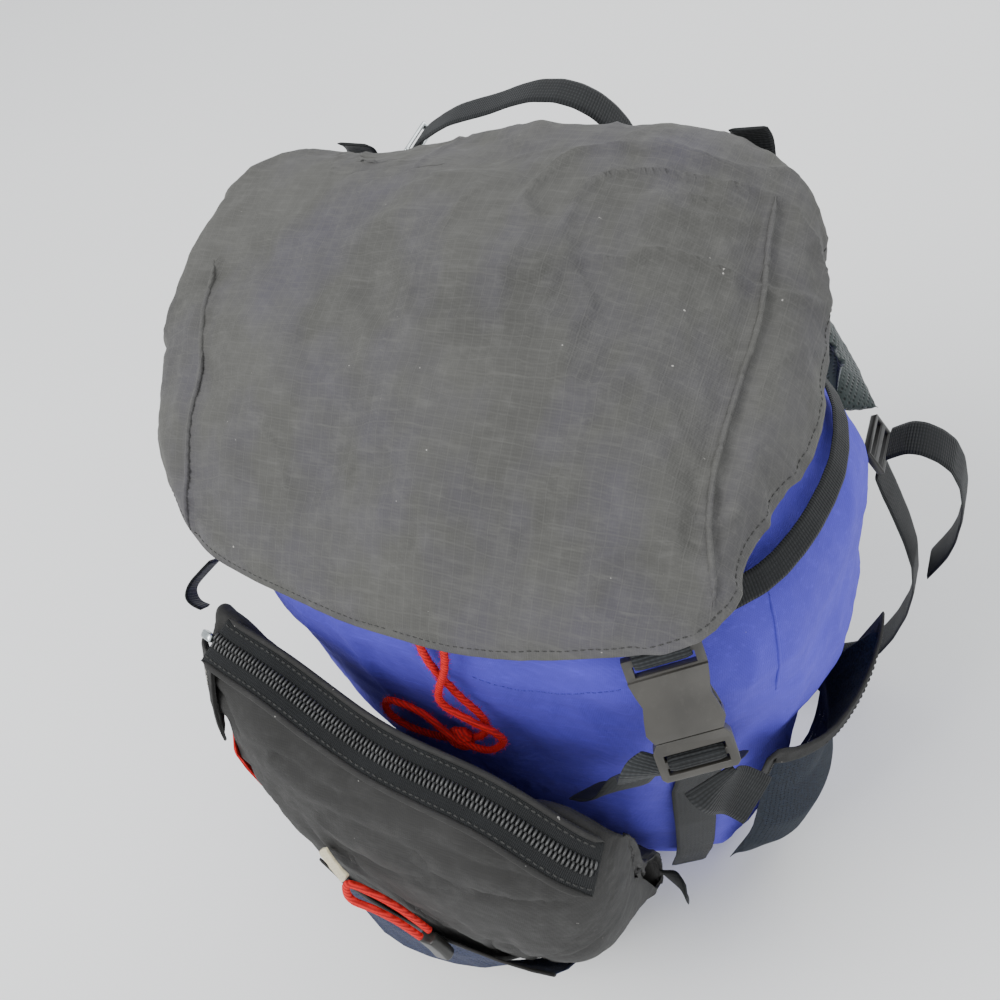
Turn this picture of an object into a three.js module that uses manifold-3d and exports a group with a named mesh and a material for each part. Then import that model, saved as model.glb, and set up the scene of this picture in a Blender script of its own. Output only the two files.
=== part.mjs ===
// A hiking backpack: a soft sack with a gathered collar, a domed lid, a zipped front pocket, mesh pockets,
// a padded back with shoulder straps, and the webbing and buckle that hold the lid down.
// Millimetres. +Z is up, +X is to the right of someone who faces the front pocket, +Y is towards the wearer.
// The origin is the middle of the sack's flat base.

import * as THREE from "three";
import { mergeVertices } from "three/addons/utils/BufferGeometryUtils.js";
import Module from "manifold-3d";

const wasm = await Module();
wasm.setup();

// Driving sizes

const SACK_WIDTH = 348; // at its fullest, a little over half way up
const SACK_DEPTH = 238;
const SACK_HEIGHT = 464;
const FABRIC = 2.4; // wall of the sack and the lid
const GAP = 0.35; // between pieces that lie against each other

const LID_WIDTH = 314;
const LID_DEPTH = 244;
const LID_TOP = 512; // height of the lid's crown above the floor

const POCKET_WIDTH = 236;
const POCKET_HEIGHT = 352; // top of the front pocket above the floor
const POCKET_DEPTH = 94; // out from the sack at its fullest
const POCKET_FABRIC = 2.2;
const POCKET_RIGHT = -22; // where its middle sits across the sack

const ZIP_THICK = 1.2;
const COIL_THICK = 2.4;

const NET_THICK = 1.4; // folded net with its hem
const SIDE_POCKET_HEIGHT = 266;
const SIDE_POCKET_BULGE = 17;
const SIDE_POCKET_LIFT = 8.2; // off the sack where it is sewn

const BACK_WIDTH = 284;
const BACK_HEIGHT = 430;
const BACK_RIGHT = 14; // where its middle sits across the sack
const BACK_PAD = 20;

const SHOULDER_WIDTH = 62;
const SHOULDER_THICK = 11;

const WEB_WIDE = 25; // main webbing
const WEB_NARROW = 20;
const WEB_THICK = 1.7;

const CORD_DIAMETER = 4;
const BUNGEE_DIAMETER = 4.4;

const BUCKLE_WIDTH = 35;
const BUCKLE_THICK = 9;
const SOCKET_LENGTH = 40;
const PLUG_BASE = 19;
const PLUG_PRONG = 26;

// Colours

const CLOTH_BLUE = 0x3f3fa8;
const CLOTH_GREY = 0x56564f;
const CLOTH_DARK = 0x3a3a3a;
const NET_NAVY = 0x1f2a38;
const WEB_BLACK = 0x2c2d2c;
const CORD_RED = 0xd81e1e;
const PLASTIC_GREY = 0x4a4944;
const METAL_BRIGHT = 0xb9c0c2;
const COIL_GREY = 0x84868a;
const TAB_CREAM = 0xd9cfa6;

function finish(color, roughness, metalness = 0) {
  return new THREE.MeshStandardMaterial({ color, roughness, metalness });
}

const lidCloth = finish(CLOTH_GREY, 0.85);
const sackCloth = finish(CLOTH_BLUE, 0.8);
const pocketCloth = finish(CLOTH_DARK, 0.85);
const padCloth = finish(WEB_BLACK, 0.9);
const net = finish(NET_NAVY, 0.8);
const webbing = finish(WEB_BLACK, 0.75);
const redCord = finish(CORD_RED, 0.7);
const plastic = finish(PLASTIC_GREY, 0.45);
const metal = finish(METAL_BRIGHT, 0.3, 0.9);
const creamTape = finish(TAB_CREAM, 0.8);
const coilPlastic = finish(COIL_GREY, 0.4);

const root = new THREE.Group();
const radians = THREE.MathUtils.degToRad;

function place(name, geometry, material, parent = root) {
  const mesh = new THREE.Mesh(geometry, material);
  mesh.name = name;
  parent.add(mesh);
  return mesh;
}

// Smooth reading of a table whose rows are sorted by one column

function monotoneSlopes(xs, ys) {
  const rise = xs.slice(1).map((x, i) => (ys[i + 1] - ys[i]) / (x - xs[i]));
  return xs.map((_, i) => {
    const before = rise[i - 1] ?? rise[0];
    const after = rise[i] ?? rise.at(-1);
    return before * after > 0 ? (2 * before * after) / (before + after) : 0;
  });
}

function lookup(rows, by) {
  const xs = rows.map((row) => row[by]);
  const columns = Object.keys(rows[0]).filter((key) => key !== by);
  const slopes = Object.fromEntries(columns.map((key) => [key, monotoneSlopes(xs, rows.map((row) => row[key]))]));
  return (at) => {
    const x = THREE.MathUtils.clamp(at, xs[0], xs.at(-1));
    const next = xs.findIndex((value, i) => i > 0 && x <= value);
    const i = next - 1;
    const step = xs[next] - xs[i];
    const t = (x - xs[i]) / step;
    const found = {};
    for (const key of columns) {
      const [p, q] = [rows[i][key], rows[next][key]];
      const [m, n] = [slopes[key][i] * step, slopes[key][next] * step];
      found[key] = p + t * (m + t * (3 * (q - p) - 2 * m - n + t * (2 * (p - q) + m + n)));
    }
    return found;
  };
}

// Depth of the creases at a point: each row is a groove along a line, as shares of the two half sizes

function creaseDepth(rows, x, y, halfX, halfY) {
  let depth = 0;
  for (const row of rows) {
    const ax = row.x0 * halfX;
    const ay = row.y0 * halfY;
    const bx = row.x1 * halfX - ax;
    const by = row.y1 * halfY - ay;
    const along = THREE.MathUtils.clamp(((x - ax) * bx + (y - ay) * by) / (bx * bx + by * by || 1), 0, 1);
    const away = Math.hypot(x - ax - along * bx, y - ay - along * by) / (row.wide * halfX);
    depth += row.deep * halfX * Math.exp(-away * away);
  }
  return depth;
}

// Lofts: rings of points joined in order, and one point where a ring closes

function loft(rings, { ringed = false } = {}) {
  const points = [];
  const starts = rings.map((ring) => {
    const start = points.length;
    points.push(...ring);
    return start;
  });
  const index = [];
  const join = (a, b) => {
    const [ringA, ringB] = [rings[a], rings[b]];
    const count = Math.max(ringA.length, ringB.length);
    for (let i = 0; i < count; i++) {
      const j = (i + 1) % count;
      const a0 = starts[a] + (ringA.length > 1 ? i : 0);
      const a1 = starts[a] + (ringA.length > 1 ? j : 0);
      const b0 = starts[b] + (ringB.length > 1 ? i : 0);
      const b1 = starts[b] + (ringB.length > 1 ? j : 0);
      if (a0 !== a1) index.push(a0, a1, b1);
      if (b0 !== b1) index.push(a0, b1, b0);
    }
  };
  for (let k = 1; k < rings.length; k++) join(k - 1, k);
  if (ringed) join(rings.length - 1, 0);
  let volume = 0;
  for (let i = 0; i < index.length; i += 3) {
    const [p, q, r] = [points[index[i]], points[index[i + 1]], points[index[i + 2]]];
    volume += p.dot(new THREE.Vector3().crossVectors(q, r));
  }
  if (volume < 0) index.reverse();
  const geometry = new THREE.BufferGeometry().setFromPoints(points);
  geometry.setIndex(index);
  geometry.computeVertexNormals();
  return geometry;
}

// A skin built of patches whose edges share their points

class Patches {
  constructor() {
    this.corners = [];
  }

  quad(p, q, r, s) {
    this.corners.push(p, q, r, p, r, s);
    return this;
  }

  // Rows run downwards for a skin that faces out, and each goes round counter-clockwise from above
  strip(rows, flip = false) {
    for (let k = 1; k < rows.length; k++) {
      const [upper, lower] = flip ? [rows[k], rows[k - 1]] : [rows[k - 1], rows[k]];
      upper.forEach((point, i) => {
        const j = (i + 1) % upper.length;
        this.quad(point, lower[i], lower[j], upper[j]);
      });
    }
    return this;
  }

  // A square net of cells spread over a round panel: at(turn, share) with share 0 in the middle, 1 on the rim
  panel(cells, at, flip = false) {
    const points = range(-1, 1, cells).map((x) => range(-1, 1, cells).map((y) => at(...spread(x, y))));
    for (let i = 0; i < cells; i++) {
      for (let j = 0; j < cells; j++) {
        const [p, q, r, s] = [points[i][j], points[i + 1][j], points[i + 1][j + 1], points[i][j + 1]];
        if (flip) this.quad(p, s, r, q);
        else if ((i < cells / 2) === (j < cells / 2)) this.quad(q, r, s, p);
        else this.quad(p, q, r, s);
      }
    }
    return this;
  }

  geometry() {
    const soup = new THREE.BufferGeometry().setFromPoints(this.corners);
    const merged = mergeVertices(soup, 1e-4);
    merged.computeVertexNormals();
    return merged;
  }
}

// From a square to a disc: the turn and the share of the radius
function spread(x, y) {
  const share = Math.max(Math.abs(x), Math.abs(y));
  if (share === 0) return [0, 0];
  const quarter = Math.PI / 4;
  if (Math.abs(x) >= Math.abs(y)) return [(x > 0 ? 0 : Math.PI) + quarter * (y / x), share];
  return [(y > 0 ? Math.PI / 2 : -Math.PI / 2) - quarter * (x / y), share];
}

function middle(ring) {
  const sum = ring.reduce((total, point) => total.add(point), new THREE.Vector3());
  return sum.divideScalar(ring.length);
}

function capped(rings) {
  return loft([[middle(rings[0])], ...rings, [middle(rings.at(-1))]]);
}

// A skin(u, v) moved along its own normal

function lifted(skin, step = 1e-3) {
  return (u, v, lift = 0) => {
    const at = skin(u, v);
    if (!lift) return at;
    const alongU = skin(u + step, v).sub(skin(u - step, v));
    const alongV = skin(u, v + step).sub(skin(u, v - step));
    return at.add(alongU.cross(alongV).normalize().multiplyScalar(lift));
  };
}

function range(from, to, steps) {
  return Array.from({ length: steps + 1 }, (_, i) => from + ((to - from) * i) / steps);
}

// A thin sheet on a lifted skin, from its low to its high lift, both given at each u and v

function sheetOn(surface, us, vs, low, high) {
  const rings = us.map((u) => [
    ...vs.map((v) => surface(u, v, low(u, v))),
    ...[...vs].reverse().map((v) => surface(u, v, high(u, v))),
  ]);
  return capped(rings);
}

// Solids for cuts

function solidOf(geometry) {
  const bare = new THREE.BufferGeometry();
  bare.setAttribute("position", geometry.getAttribute("position").clone());
  if (geometry.index) bare.setIndex(geometry.index.clone());
  const merged = mergeVertices(bare, 1e-4);
  return new wasm.Manifold(
    new wasm.Mesh({
      numProp: 3,
      vertProperties: merged.attributes.position.array,
      triVerts: new Uint32Array(merged.index.array),
    }),
  );
}

function geometryOf(solid) {
  const mesh = solid.getMesh();
  const geometry = new THREE.BufferGeometry();
  geometry.setAttribute("position", new THREE.BufferAttribute(mesh.vertProperties, 3));
  geometry.setIndex(new THREE.BufferAttribute(mesh.triVerts, 1));
  geometry.computeVertexNormals();
  return geometry;
}

function cut(geometry, ...tools) {
  return geometryOf(tools.reduce((left, tool) => left.subtract(solidOf(tool)), solidOf(geometry)));
}

function joined(geometry, ...others) {
  return geometryOf(others.reduce((whole, other) => whole.add(solidOf(other)), solidOf(geometry)));
}

// Sack: rows go up from the base. wide and deep are shares of the half sizes, right and back say how far
// the section's middle leans, and square is the exponent of its rounded outline.

const sackSections = [
  { up: 0.0, wide: 0.7, deep: 0.72, right: -0.03, back: 0.06, square: 3.4 },
  { up: 0.04, wide: 0.76, deep: 0.79, right: -0.03, back: 0.05, square: 3.4 },
  { up: 0.2, wide: 0.85, deep: 0.86, right: -0.01, back: 0.02, square: 3.2 },
  { up: 0.43, wide: 0.92, deep: 0.92, right: 0.0, back: -0.02, square: 3.0 },
  { up: 0.64, wide: 1.0, deep: 0.98, right: 0.08, back: -0.04, square: 3.0 },
  { up: 0.77, wide: 0.98, deep: 1.0, right: 0.07, back: -0.06, square: 3.0 },
  { up: 0.86, wide: 0.88, deep: 0.92, right: -0.02, back: -0.06, square: 2.5 },
  { up: 0.925, wide: 0.68, deep: 0.7, right: -0.06, back: 0.0, square: 2.3 },
  { up: 0.97, wide: 0.46, deep: 0.46, right: -0.08, back: 0.06, square: 2.1 },
  { up: 1.0, wide: 0.3, deep: 0.3, right: -0.08, back: 0.08, square: 2.0 },
];
const sackSection = lookup(sackSections, "up");

// Creases of the sack: x is the turn round it in straight angles from the front, y its height
const sackCreases = [
  { x0: 0.33, y0: 0.86, x1: 0.3, y1: 0.52, wide: 0.07, deep: 0.035 },
  { x0: 0.44, y0: 0.8, x1: 0.4, y1: 0.62, wide: 0.08, deep: 0.04 },
  { x0: 0.5, y0: 0.7, x1: 0.62, y1: 0.64, wide: 0.09, deep: 0.04 },
  { x0: 0.36, y0: 0.5, x1: 0.55, y1: 0.42, wide: 0.07, deep: 0.03 },
  { x0: -0.45, y0: 0.75, x1: -0.5, y1: 0.5, wide: 0.09, deep: 0.04 },
  { x0: -0.62, y0: 0.6, x1: -0.45, y1: 0.45, wide: 0.08, deep: 0.03 },
  { x0: 0.1, y0: 0.76, x1: 0.17, y1: 0.68, wide: 0.05, deep: 0.025 },
];
const GATHERS = 18; // pleats of the drawn collar
const GATHER_DEPTH = 0.09; // share of the collar's own size
const FRONT_TURN = radians(-90);

// Turn round the sack from its front, in straight angles, from -1 to 1
function fromFront(turn) {
  const around = (turn - FRONT_TURN) / Math.PI;
  return around - 2 * Math.round(around / 2);
}

function sackSkin(turn, z) {
  const up = z / SACK_HEIGHT;
  const row = sackSection(up);
  const a = (row.wide * SACK_WIDTH) / 2;
  const b = (row.deep * SACK_DEPTH) / 2;
  const [c, s] = [Math.cos(turn), Math.sin(turn)];
  const outline = (Math.abs(c / a) ** row.square + Math.abs(s / b) ** row.square) ** (-1 / row.square);
  const gather = GATHER_DEPTH * THREE.MathUtils.smoothstep(up, 0.86, 1) * (0.5 + 0.5 * Math.cos(GATHERS * turn));
  const crease = creaseDepth(sackCreases, fromFront(turn) * SACK_WIDTH, up * SACK_HEIGHT, SACK_WIDTH, SACK_HEIGHT);
  const reach = outline * (1 - gather) - crease;
  return new THREE.Vector3(
    (row.right * SACK_WIDTH) / 2 + reach * c,
    (row.back * SACK_DEPTH) / 2 + reach * s,
    z,
  );
}
const sackAt = lifted(sackSkin);

// The sack's own face in front of or behind a point, without its creases
function sackFace(x, z, side) {
  const row = sackSection(z / SACK_HEIGHT);
  const a = (row.wide * SACK_WIDTH) / 2;
  const b = (row.deep * SACK_DEPTH) / 2;
  const share = Math.min(Math.abs((x - (row.right * SACK_WIDTH) / 2) / a), 0.985);
  return (row.back * SACK_DEPTH) / 2 + side * b * (1 - share ** row.square) ** (1 / row.square);
}

// A point beside the sack: turn in degrees (0 right, 90 back, -90 front), height as a share, distance out
function beside({ turn, up, out }) {
  const angle = radians(turn);
  const at = sackSkin(angle, up * SACK_HEIGHT);
  return at.add(new THREE.Vector3(Math.cos(angle), Math.sin(angle), 0).multiplyScalar(out));
}

const SACK_COLUMNS = 40;
const SACK_ROWS = [0, 0.03, 0.1, 0.22, 0.36, 0.48, 0.57, 0.64, 0.7, 0.77, 0.83, 0.89, 0.945, 1];

function buildSack() {
  const turns = range(0, 2 * Math.PI, SACK_COLUMNS)
    .slice(0, -1)
    .map((turn) => turn + Math.PI / SACK_COLUMNS);
  const baseMiddle = (sackSections[0].back * SACK_DEPTH) / 2;
  const outer = SACK_ROWS.map((up) => turns.map((turn) => sackSkin(turn, up * SACK_HEIGHT)));
  const inner = SACK_ROWS.slice(1).map((up) =>
    turns.map((turn) => {
      const point = sackAt(turn, up * SACK_HEIGHT, -FABRIC);
      point.z = Math.min(point.z, SACK_HEIGHT);
      return point;
    }),
  );
  const floor = turns.map((turn) => {
    const point = sackSkin(turn, 0);
    return new THREE.Vector3(point.x, point.y, 0).lerp(new THREE.Vector3(0, baseMiddle, 0), 0.04).setZ(FABRIC);
  });
  return loft([
    [new THREE.Vector3(0, baseMiddle, 0)],
    ...outer,
    ...inner.reverse(),
    floor,
    [new THREE.Vector3(0, baseMiddle, FABRIC)],
  ]);
}
place("sack", buildSack(), sackCloth);

// Lid: an outline round its own middle, a gusset up from the hem, and a top panel up to the crown

const LID_RIGHT = -16; // where the lid's middle sits on the sack
const LID_BACK = -3;
const CROWN_RIGHT = 0.02; // the crown's own place, as shares of the half sizes from the lid's middle
const CROWN_BACK = 0.35;

// Round the lid from its right side, turning to the back. reach is the hem's distance from the middle and
// inset how much closer the seam runs, as shares of the half width; hem and seam are their heights as shares
// of the lid's top height.
const lidEdge = lookup(
  [
    { turn: -25, reach: 1.09, inset: 0.16, hem: 0.852, seam: 0.9 },
    { turn: 0, reach: 1.05, inset: 0.19, hem: 0.852, seam: 0.922 },
    { turn: 22, reach: 1.1, inset: 0.18, hem: 0.868, seam: 0.932 },
    { turn: 38, reach: 1.14, inset: 0.07, hem: 0.872, seam: 0.94 },
    { turn: 52, reach: 1.07, inset: 0.04, hem: 0.88, seam: 0.952 },
    { turn: 68, reach: 0.87, inset: 0.04, hem: 0.885, seam: 0.968 },
    { turn: 85, reach: 0.745, inset: 0.04, hem: 0.89, seam: 0.985 },
    { turn: 115, reach: 0.785, inset: 0.04, hem: 0.88, seam: 0.955 },
    { turn: 132, reach: 0.86, inset: 0.05, hem: 0.873, seam: 0.953 },
    { turn: 153, reach: 1.08, inset: 0.07, hem: 0.865, seam: 0.965 },
    { turn: 168, reach: 1.08, inset: 0.1, hem: 0.85, seam: 0.955 },
    { turn: 188, reach: 1.11, inset: 0.11, hem: 0.815, seam: 0.905 },
    { turn: 205, reach: 1.1, inset: 0.1, hem: 0.785, seam: 0.86 },
    { turn: 220, reach: 1.04, inset: 0.05, hem: 0.772, seam: 0.812 },
    { turn: 234, reach: 0.92, inset: 0.03, hem: 0.767, seam: 0.795 },
    { turn: 250, reach: 0.84, inset: 0.025, hem: 0.767, seam: 0.795 },
    { turn: 268, reach: 0.82, inset: 0.025, hem: 0.768, seam: 0.796 },
    { turn: 286, reach: 0.865, inset: 0.025, hem: 0.776, seam: 0.803 },
    { turn: 304, reach: 0.97, inset: 0.03, hem: 0.792, seam: 0.82 },
    { turn: 316, reach: 1.09, inset: 0.035, hem: 0.815, seam: 0.845 },
    { turn: 323, reach: 1.18, inset: 0.06, hem: 0.84, seam: 0.868 },
    { turn: 335, reach: 1.09, inset: 0.16, hem: 0.852, seam: 0.9 },
    { turn: 360, reach: 1.05, inset: 0.19, hem: 0.852, seam: 0.922 },
  ],
  "turn",
);

// Dents of the top panel, in shares of its half width and half depth, from its middle
const lidCreases = [
  { x0: -0.9, y0: 0.5, x1: -0.76, y1: 0.1, wide: 0.13, deep: 0.055 },
  { x0: -0.76, y0: 0.1, x1: -0.32, y1: -0.06, wide: 0.11, deep: 0.05 },
  { x0: -0.58, y0: 0.47, x1: -0.17, y1: -0.17, wide: 0.12, deep: 0.045 },
  { x0: -0.42, y0: -0.23, x1: -0.22, y1: -0.74, wide: 0.2, deep: 0.05 },
  { x0: -0.12, y0: -0.05, x1: 0.38, y1: -0.53, wide: 0.09, deep: 0.05 },
  { x0: 0.03, y0: -0.28, x1: 0.3, y1: -0.48, wide: 0.08, deep: 0.03 },
  { x0: 0.45, y0: -0.03, x1: 0.66, y1: -0.75, wide: 0.13, deep: 0.045 },
  { x0: -0.14, y0: 0.9, x1: -0.02, y1: 0.62, wide: 0.09, deep: 0.045 },
  { x0: 0.03, y0: 0.71, x1: 0.24, y1: 0.42, wide: 0.07, deep: 0.03 },
  { x0: 0.88, y0: 0.3, x1: 0.78, y1: -0.25, wide: 0.09, deep: 0.04 },
  { x0: 0.44, y0: -0.53, x1: 0.7, y1: -0.98, wide: 0.08, deep: 0.025 },
];
const SEAM_AT = 0.3; // share of the way from hem to crown
const CROWN_POWER = 2.2;

function lidSkin(turn, v) {
  const edge = lidEdge((((turn * 180) / Math.PI) % 360 + 360) % 360);
  const [c, s] = [Math.cos(turn), Math.sin(turn)];
  const half = LID_WIDTH / 2;
  if (v < SEAM_AT) {
    const t = (v / SEAM_AT) * (Math.PI / 2);
    const reach = half * (edge.reach - edge.inset * (1 - Math.cos(t)));
    return new THREE.Vector3(
      LID_RIGHT + reach * c,
      LID_BACK + reach * s,
      LID_TOP * (edge.hem + (edge.seam - edge.hem) * Math.sin(t)),
    );
  }
  const q = Math.max(1 - (v - SEAM_AT) / (1 - SEAM_AT), 0);
  const reach = half * (edge.reach - edge.inset) * q;
  const x = reach * c + CROWN_RIGHT * half * (1 - q);
  const y = reach * s + ((CROWN_BACK * LID_DEPTH) / 2) * (1 - q);
  const dent = creaseDepth(lidCreases, x, y, half, LID_DEPTH / 2) * (1 - q ** 8);
  const rise = LID_TOP * (edge.seam * q ** CROWN_POWER + (1 - q ** CROWN_POWER));
  return new THREE.Vector3(LID_RIGHT + x, LID_BACK + y, rise - dent);
}
const lidSlope = lifted(lidSkin);

function lidAt(turn, v, lift = 0) {
  if (v > 0.99) return lidSkin(turn, 1).add(new THREE.Vector3(0, 0, lift));
  return lidSlope(turn, v, lift);
}

const LID_CELLS = 16;
const LID_GUSSET_ROWS = [1, 0.72, 0.4, 0];

function buildLid() {
  const turns = range(0, 2 * Math.PI, 4 * LID_CELLS).slice(0, -1);
  const rows = (lift) => LID_GUSSET_ROWS.map((v) => turns.map((turn) => lidAt(turn, v * SEAM_AT, lift)));
  const top = (lift) => (turn, share) => lidAt(turn, 1 - share * (1 - SEAM_AT), lift);
  const [outer, inner] = [rows(0), rows(-FABRIC)];
  return new Patches()
    .panel(LID_CELLS, top(0))
    .strip(outer)
    .strip([outer.at(-1), inner.at(-1)])
    .strip(inner, true)
    .panel(LID_CELLS, top(-FABRIC), true)
    .geometry();
}
place("lid", buildLid(), lidCloth);

// Front pocket: u runs across it from left (-1) to right (1). At each u the profile goes from the sack's face at
// the bottom, up the front, over the zip to the lip, and down the back wall. Distances out from the sack are
// shares of the depth, and heights are shares of the pocket's height.

const pocketAcross = lookup(
  [
    { u: -1.0, foot: 0.42, front: 0.28, zip: 0.1, lip: 0.01, up: 0.985, rise: 0.008 },
    { u: -0.95, foot: 0.62, front: 0.46, zip: 0.18, lip: 0.05, up: 1.005, rise: 0.010 },
    { u: -0.83, foot: 0.82, front: 0.64, zip: 0.24, lip: 0.09, up: 1.008, rise: 0.011 },
    { u: -0.42, foot: 0.92, front: 0.86, zip: 0.38, lip: 0.29, up: 0.989, rise: 0.001 },
    { u: 0.0, foot: 0.86, front: 0.96, zip: 0.52, lip: 0.43, up: 0.963, rise: 0.010 },
    { u: 0.3, foot: 0.68, front: 0.99, zip: 0.58, lip: 0.53, up: 0.96, rise: -0.008 },
    { u: 0.5, foot: 0.52, front: 1.0, zip: 0.61, lip: 0.57, up: 0.95, rise: 0.002 },
    { u: 0.7, foot: 0.32, front: 0.99, zip: 0.64, lip: 0.48, up: 0.925, rise: 0.016 },
    { u: 0.86, foot: 0.14, front: 0.94, zip: 0.66, lip: 0.49, up: 0.9, rise: 0.021 },
    { u: 0.95, foot: 0.0, front: 0.82, zip: 0.64, lip: 0.50, up: 0.87, rise: 0.026 },
    { u: 1.0, foot: -0.1, front: 0.62, zip: 0.52, lip: 0.43, up: 0.83, rise: 0.016 },
  ],
  "u",
);
const POCKET_CLEAR = 4; // between its back wall and the sack
const POCKET_FOOT = 0.85; // its width at the bottom, as a share of its width
const POCKET_KNOTS = 15; // places round the profile where its shape is given

function pocketProfile(u) {
  const row = pocketAcross(THREE.MathUtils.clamp(u, -1, 1));
  const mix = THREE.MathUtils.lerp;
  const side = (up) => POCKET_RIGHT + (u * POCKET_WIDTH * mix(POCKET_FOOT, 1, THREE.MathUtils.smoothstep(up, 0.05, 0.8))) / 2;
  const against = (up) => sackFace(side(up), up * POCKET_HEIGHT, -1) - POCKET_CLEAR * (1 + Math.abs(u) ** 6);
  const knot = (up, out) => {
    const y = Math.min(-SACK_DEPTH / 2 - out * POCKET_DEPTH, against(up) - 2 * POCKET_FABRIC - 1);
    return new THREE.Vector3(side(up), y, up * POCKET_HEIGHT);
  };
  const wall = (up, off) => new THREE.Vector3(side(up), against(up) - off, up * POCKET_HEIGHT);
  const lipUp = row.up + row.rise;
  return new THREE.CatmullRomCurve3(
    [
      wall(0.07, 0),
      knot(0.05, mix(-0.2, row.foot, 0.7)),
      knot(0.1, row.foot * 0.94),
      knot(0.2, mix(row.foot, row.front, 0.2)),
      knot(0.42, mix(row.foot, row.front, 0.7)),
      knot(0.62, row.front),
      knot(0.78 * row.up, row.front * 0.99),
      knot(0.915 * row.up, mix(row.zip, row.front, 0.72)),
      knot(0.98 * row.up, mix(row.zip, row.front, 0.3)),
      knot(row.up, row.zip),
      knot(row.up + 0.6 * row.rise, mix(row.zip, row.lip, 0.6)),
      knot(lipUp, row.lip),
      knot(lipUp - 0.02, row.lip - 0.06),
      knot(0.72 * lipUp, row.lip * 0.75),
      wall(0.42 * lipUp, 1.5),
    ],
    true,
  );
}

function pocketSkin(u, v) {
  return pocketProfile(u).getPoint(THREE.MathUtils.euclideanModulo(v / POCKET_KNOTS, 1));
}
const pocketAt = lifted(pocketSkin);

const ZIP_LINE = 9; // where the zip runs on the profile
const ZIP_FROM = -0.93;
const ZIP_TO = 0.93;
const ZIP_HALF_TAPE = 0.36; // half of the tape's width, along the profile
const ZIP_HALF_COIL = 0.13;
const SLOT_HALF = 0.16;

const POCKET_US = [-1, -0.965, -0.89, -0.78, -0.63, -0.46, -0.28, -0.1, 0.08, 0.26, 0.44, 0.6, 0.74, 0.85, 0.93, 0.975, 1];
const POCKET_VS = [0, 1, 2, 3, 4, 5, 6, 7, 8, 9, 10, 11, 12, 12.5, 13, 14];

// The pocket's own grid lines between two ends, so that what is sewn on it follows its facets
function linesBetween(lines, from, to) {
  const margin = (to - from) * 0.04;
  return [from, ...lines.filter((line) => line > from + margin && line < to - margin), to];
}

function sewnOn({ us, vs, low, high }) {
  return sheetOn(pocketAt, linesBetween(POCKET_US, ...us), linesBetween(POCKET_VS, ...vs), () => low, high);
}

function buildPocket() {
  const outer = capped(POCKET_US.map((u) => POCKET_VS.map((v) => pocketSkin(u, v))));
  const inset = 1 - (2 * POCKET_FABRIC) / POCKET_WIDTH;
  const inner = capped(POCKET_US.map((u) => POCKET_VS.map((v) => pocketAt(u * inset, v, -POCKET_FABRIC))));
  const slot = sheetOn(
    pocketAt,
    range(ZIP_FROM + 0.03, ZIP_TO - 0.03, 16),
    range(ZIP_LINE - SLOT_HALF, ZIP_LINE + SLOT_HALF, 2),
    () => -3 * POCKET_FABRIC,
    () => 3,
  );
  return cut(outer, inner, slot);
}
place("front_pocket", buildPocket(), pocketCloth);

const tapeLow = GAP + 0.5;
const coilLow = tapeLow + ZIP_THICK + GAP + 1.4;
const zipRow = (half) => [ZIP_LINE - half, ZIP_LINE + half];
place(
  "zip_tape",
  sewnOn({ us: [ZIP_FROM, ZIP_TO], vs: zipRow(ZIP_HALF_TAPE), low: tapeLow, high: () => tapeLow + ZIP_THICK }),
  webbing,
);
place(
  "zip_coil",
  sewnOn({ us: [ZIP_FROM + 0.07, ZIP_TO - 0.02], vs: zipRow(ZIP_HALF_COIL), low: coilLow, high: () => coilLow + COIL_THICK }),
  coilPlastic,
);
place(
  "zip_slider",
  sewnOn({ us: [ZIP_FROM + 0.005, ZIP_FROM + 0.06], vs: zipRow(0.17), low: coilLow, high: () => coilLow + 4.2 }),
  metal,
);

// Pieces sewn on the pocket's face
const sewnLow = GAP + 0.6;
const meshLow = GAP + 2.4;
const meshSpan = { us: [-0.63, 0.74], vs: [3, 4.7] };
function meshRise(u, v) {
  const a = (2 * (u - meshSpan.us[0])) / (meshSpan.us[1] - meshSpan.us[0]) - 1;
  const b = (2 * (v - meshSpan.vs[0])) / (meshSpan.vs[1] - meshSpan.vs[0]) - 1;
  return meshLow + NET_THICK + 3 * Math.max(0, (1 - a ** 4) * (1 - b ** 4));
}
place("pocket_mesh", sewnOn({ ...meshSpan, low: meshLow, high: meshRise }), net);
place("lash_strap", sewnOn({ us: [-0.985, -0.86], vs: [6.5, 8.3], low: meshLow, high: () => meshLow + WEB_THICK }), webbing);
place("label_patch", sewnOn({ us: [-0.985, -0.84], vs: [5.0, 6.3], low: sewnLow, high: () => sewnLow + 1.4 }), redCord);

// Straps of webbing: a path of points, and either the way the strap's face looks or the way it lies across

function along(points, count) {
  const curve = new THREE.CatmullRomCurve3(points, false, "centripetal");
  return range(0, 1, count).map((t) => ({ t, at: curve.getPoint(t), way: curve.getTangent(t) }));
}

const FLAT = [[-1, -1], [1, -1], [1, 1], [-1, 1]];
const ROUNDED = [[-1, -0.35], [-0.78, -1], [0.78, -1], [1, -0.35], [1, 0.35], [0.78, 1], [-0.78, 1], [-1, 0.35]];

function ribbon(points, { width = WEB_WIDE, thick = WEB_THICK, steps = 12, face, across, narrow = () => 1, section = FLAT }) {
  const rings = along(points, steps).map(({ t, at, way }) => {
    const given = typeof across === "function" ? across(t, at) : across;
    const side = given ? given.clone() : new THREE.Vector3().crossVectors(face(t, at), way);
    side.addScaledVector(way, -side.dot(way)).normalize();
    const out = new THREE.Vector3().crossVectors(way, side).normalize();
    const [w, h] = [(width * narrow(t)) / 2, thick / 2];
    return section.map(([a, b]) => at.clone().addScaledVector(side, a * w).addScaledVector(out, b * h));
  });
  return capped(rings);
}

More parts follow.
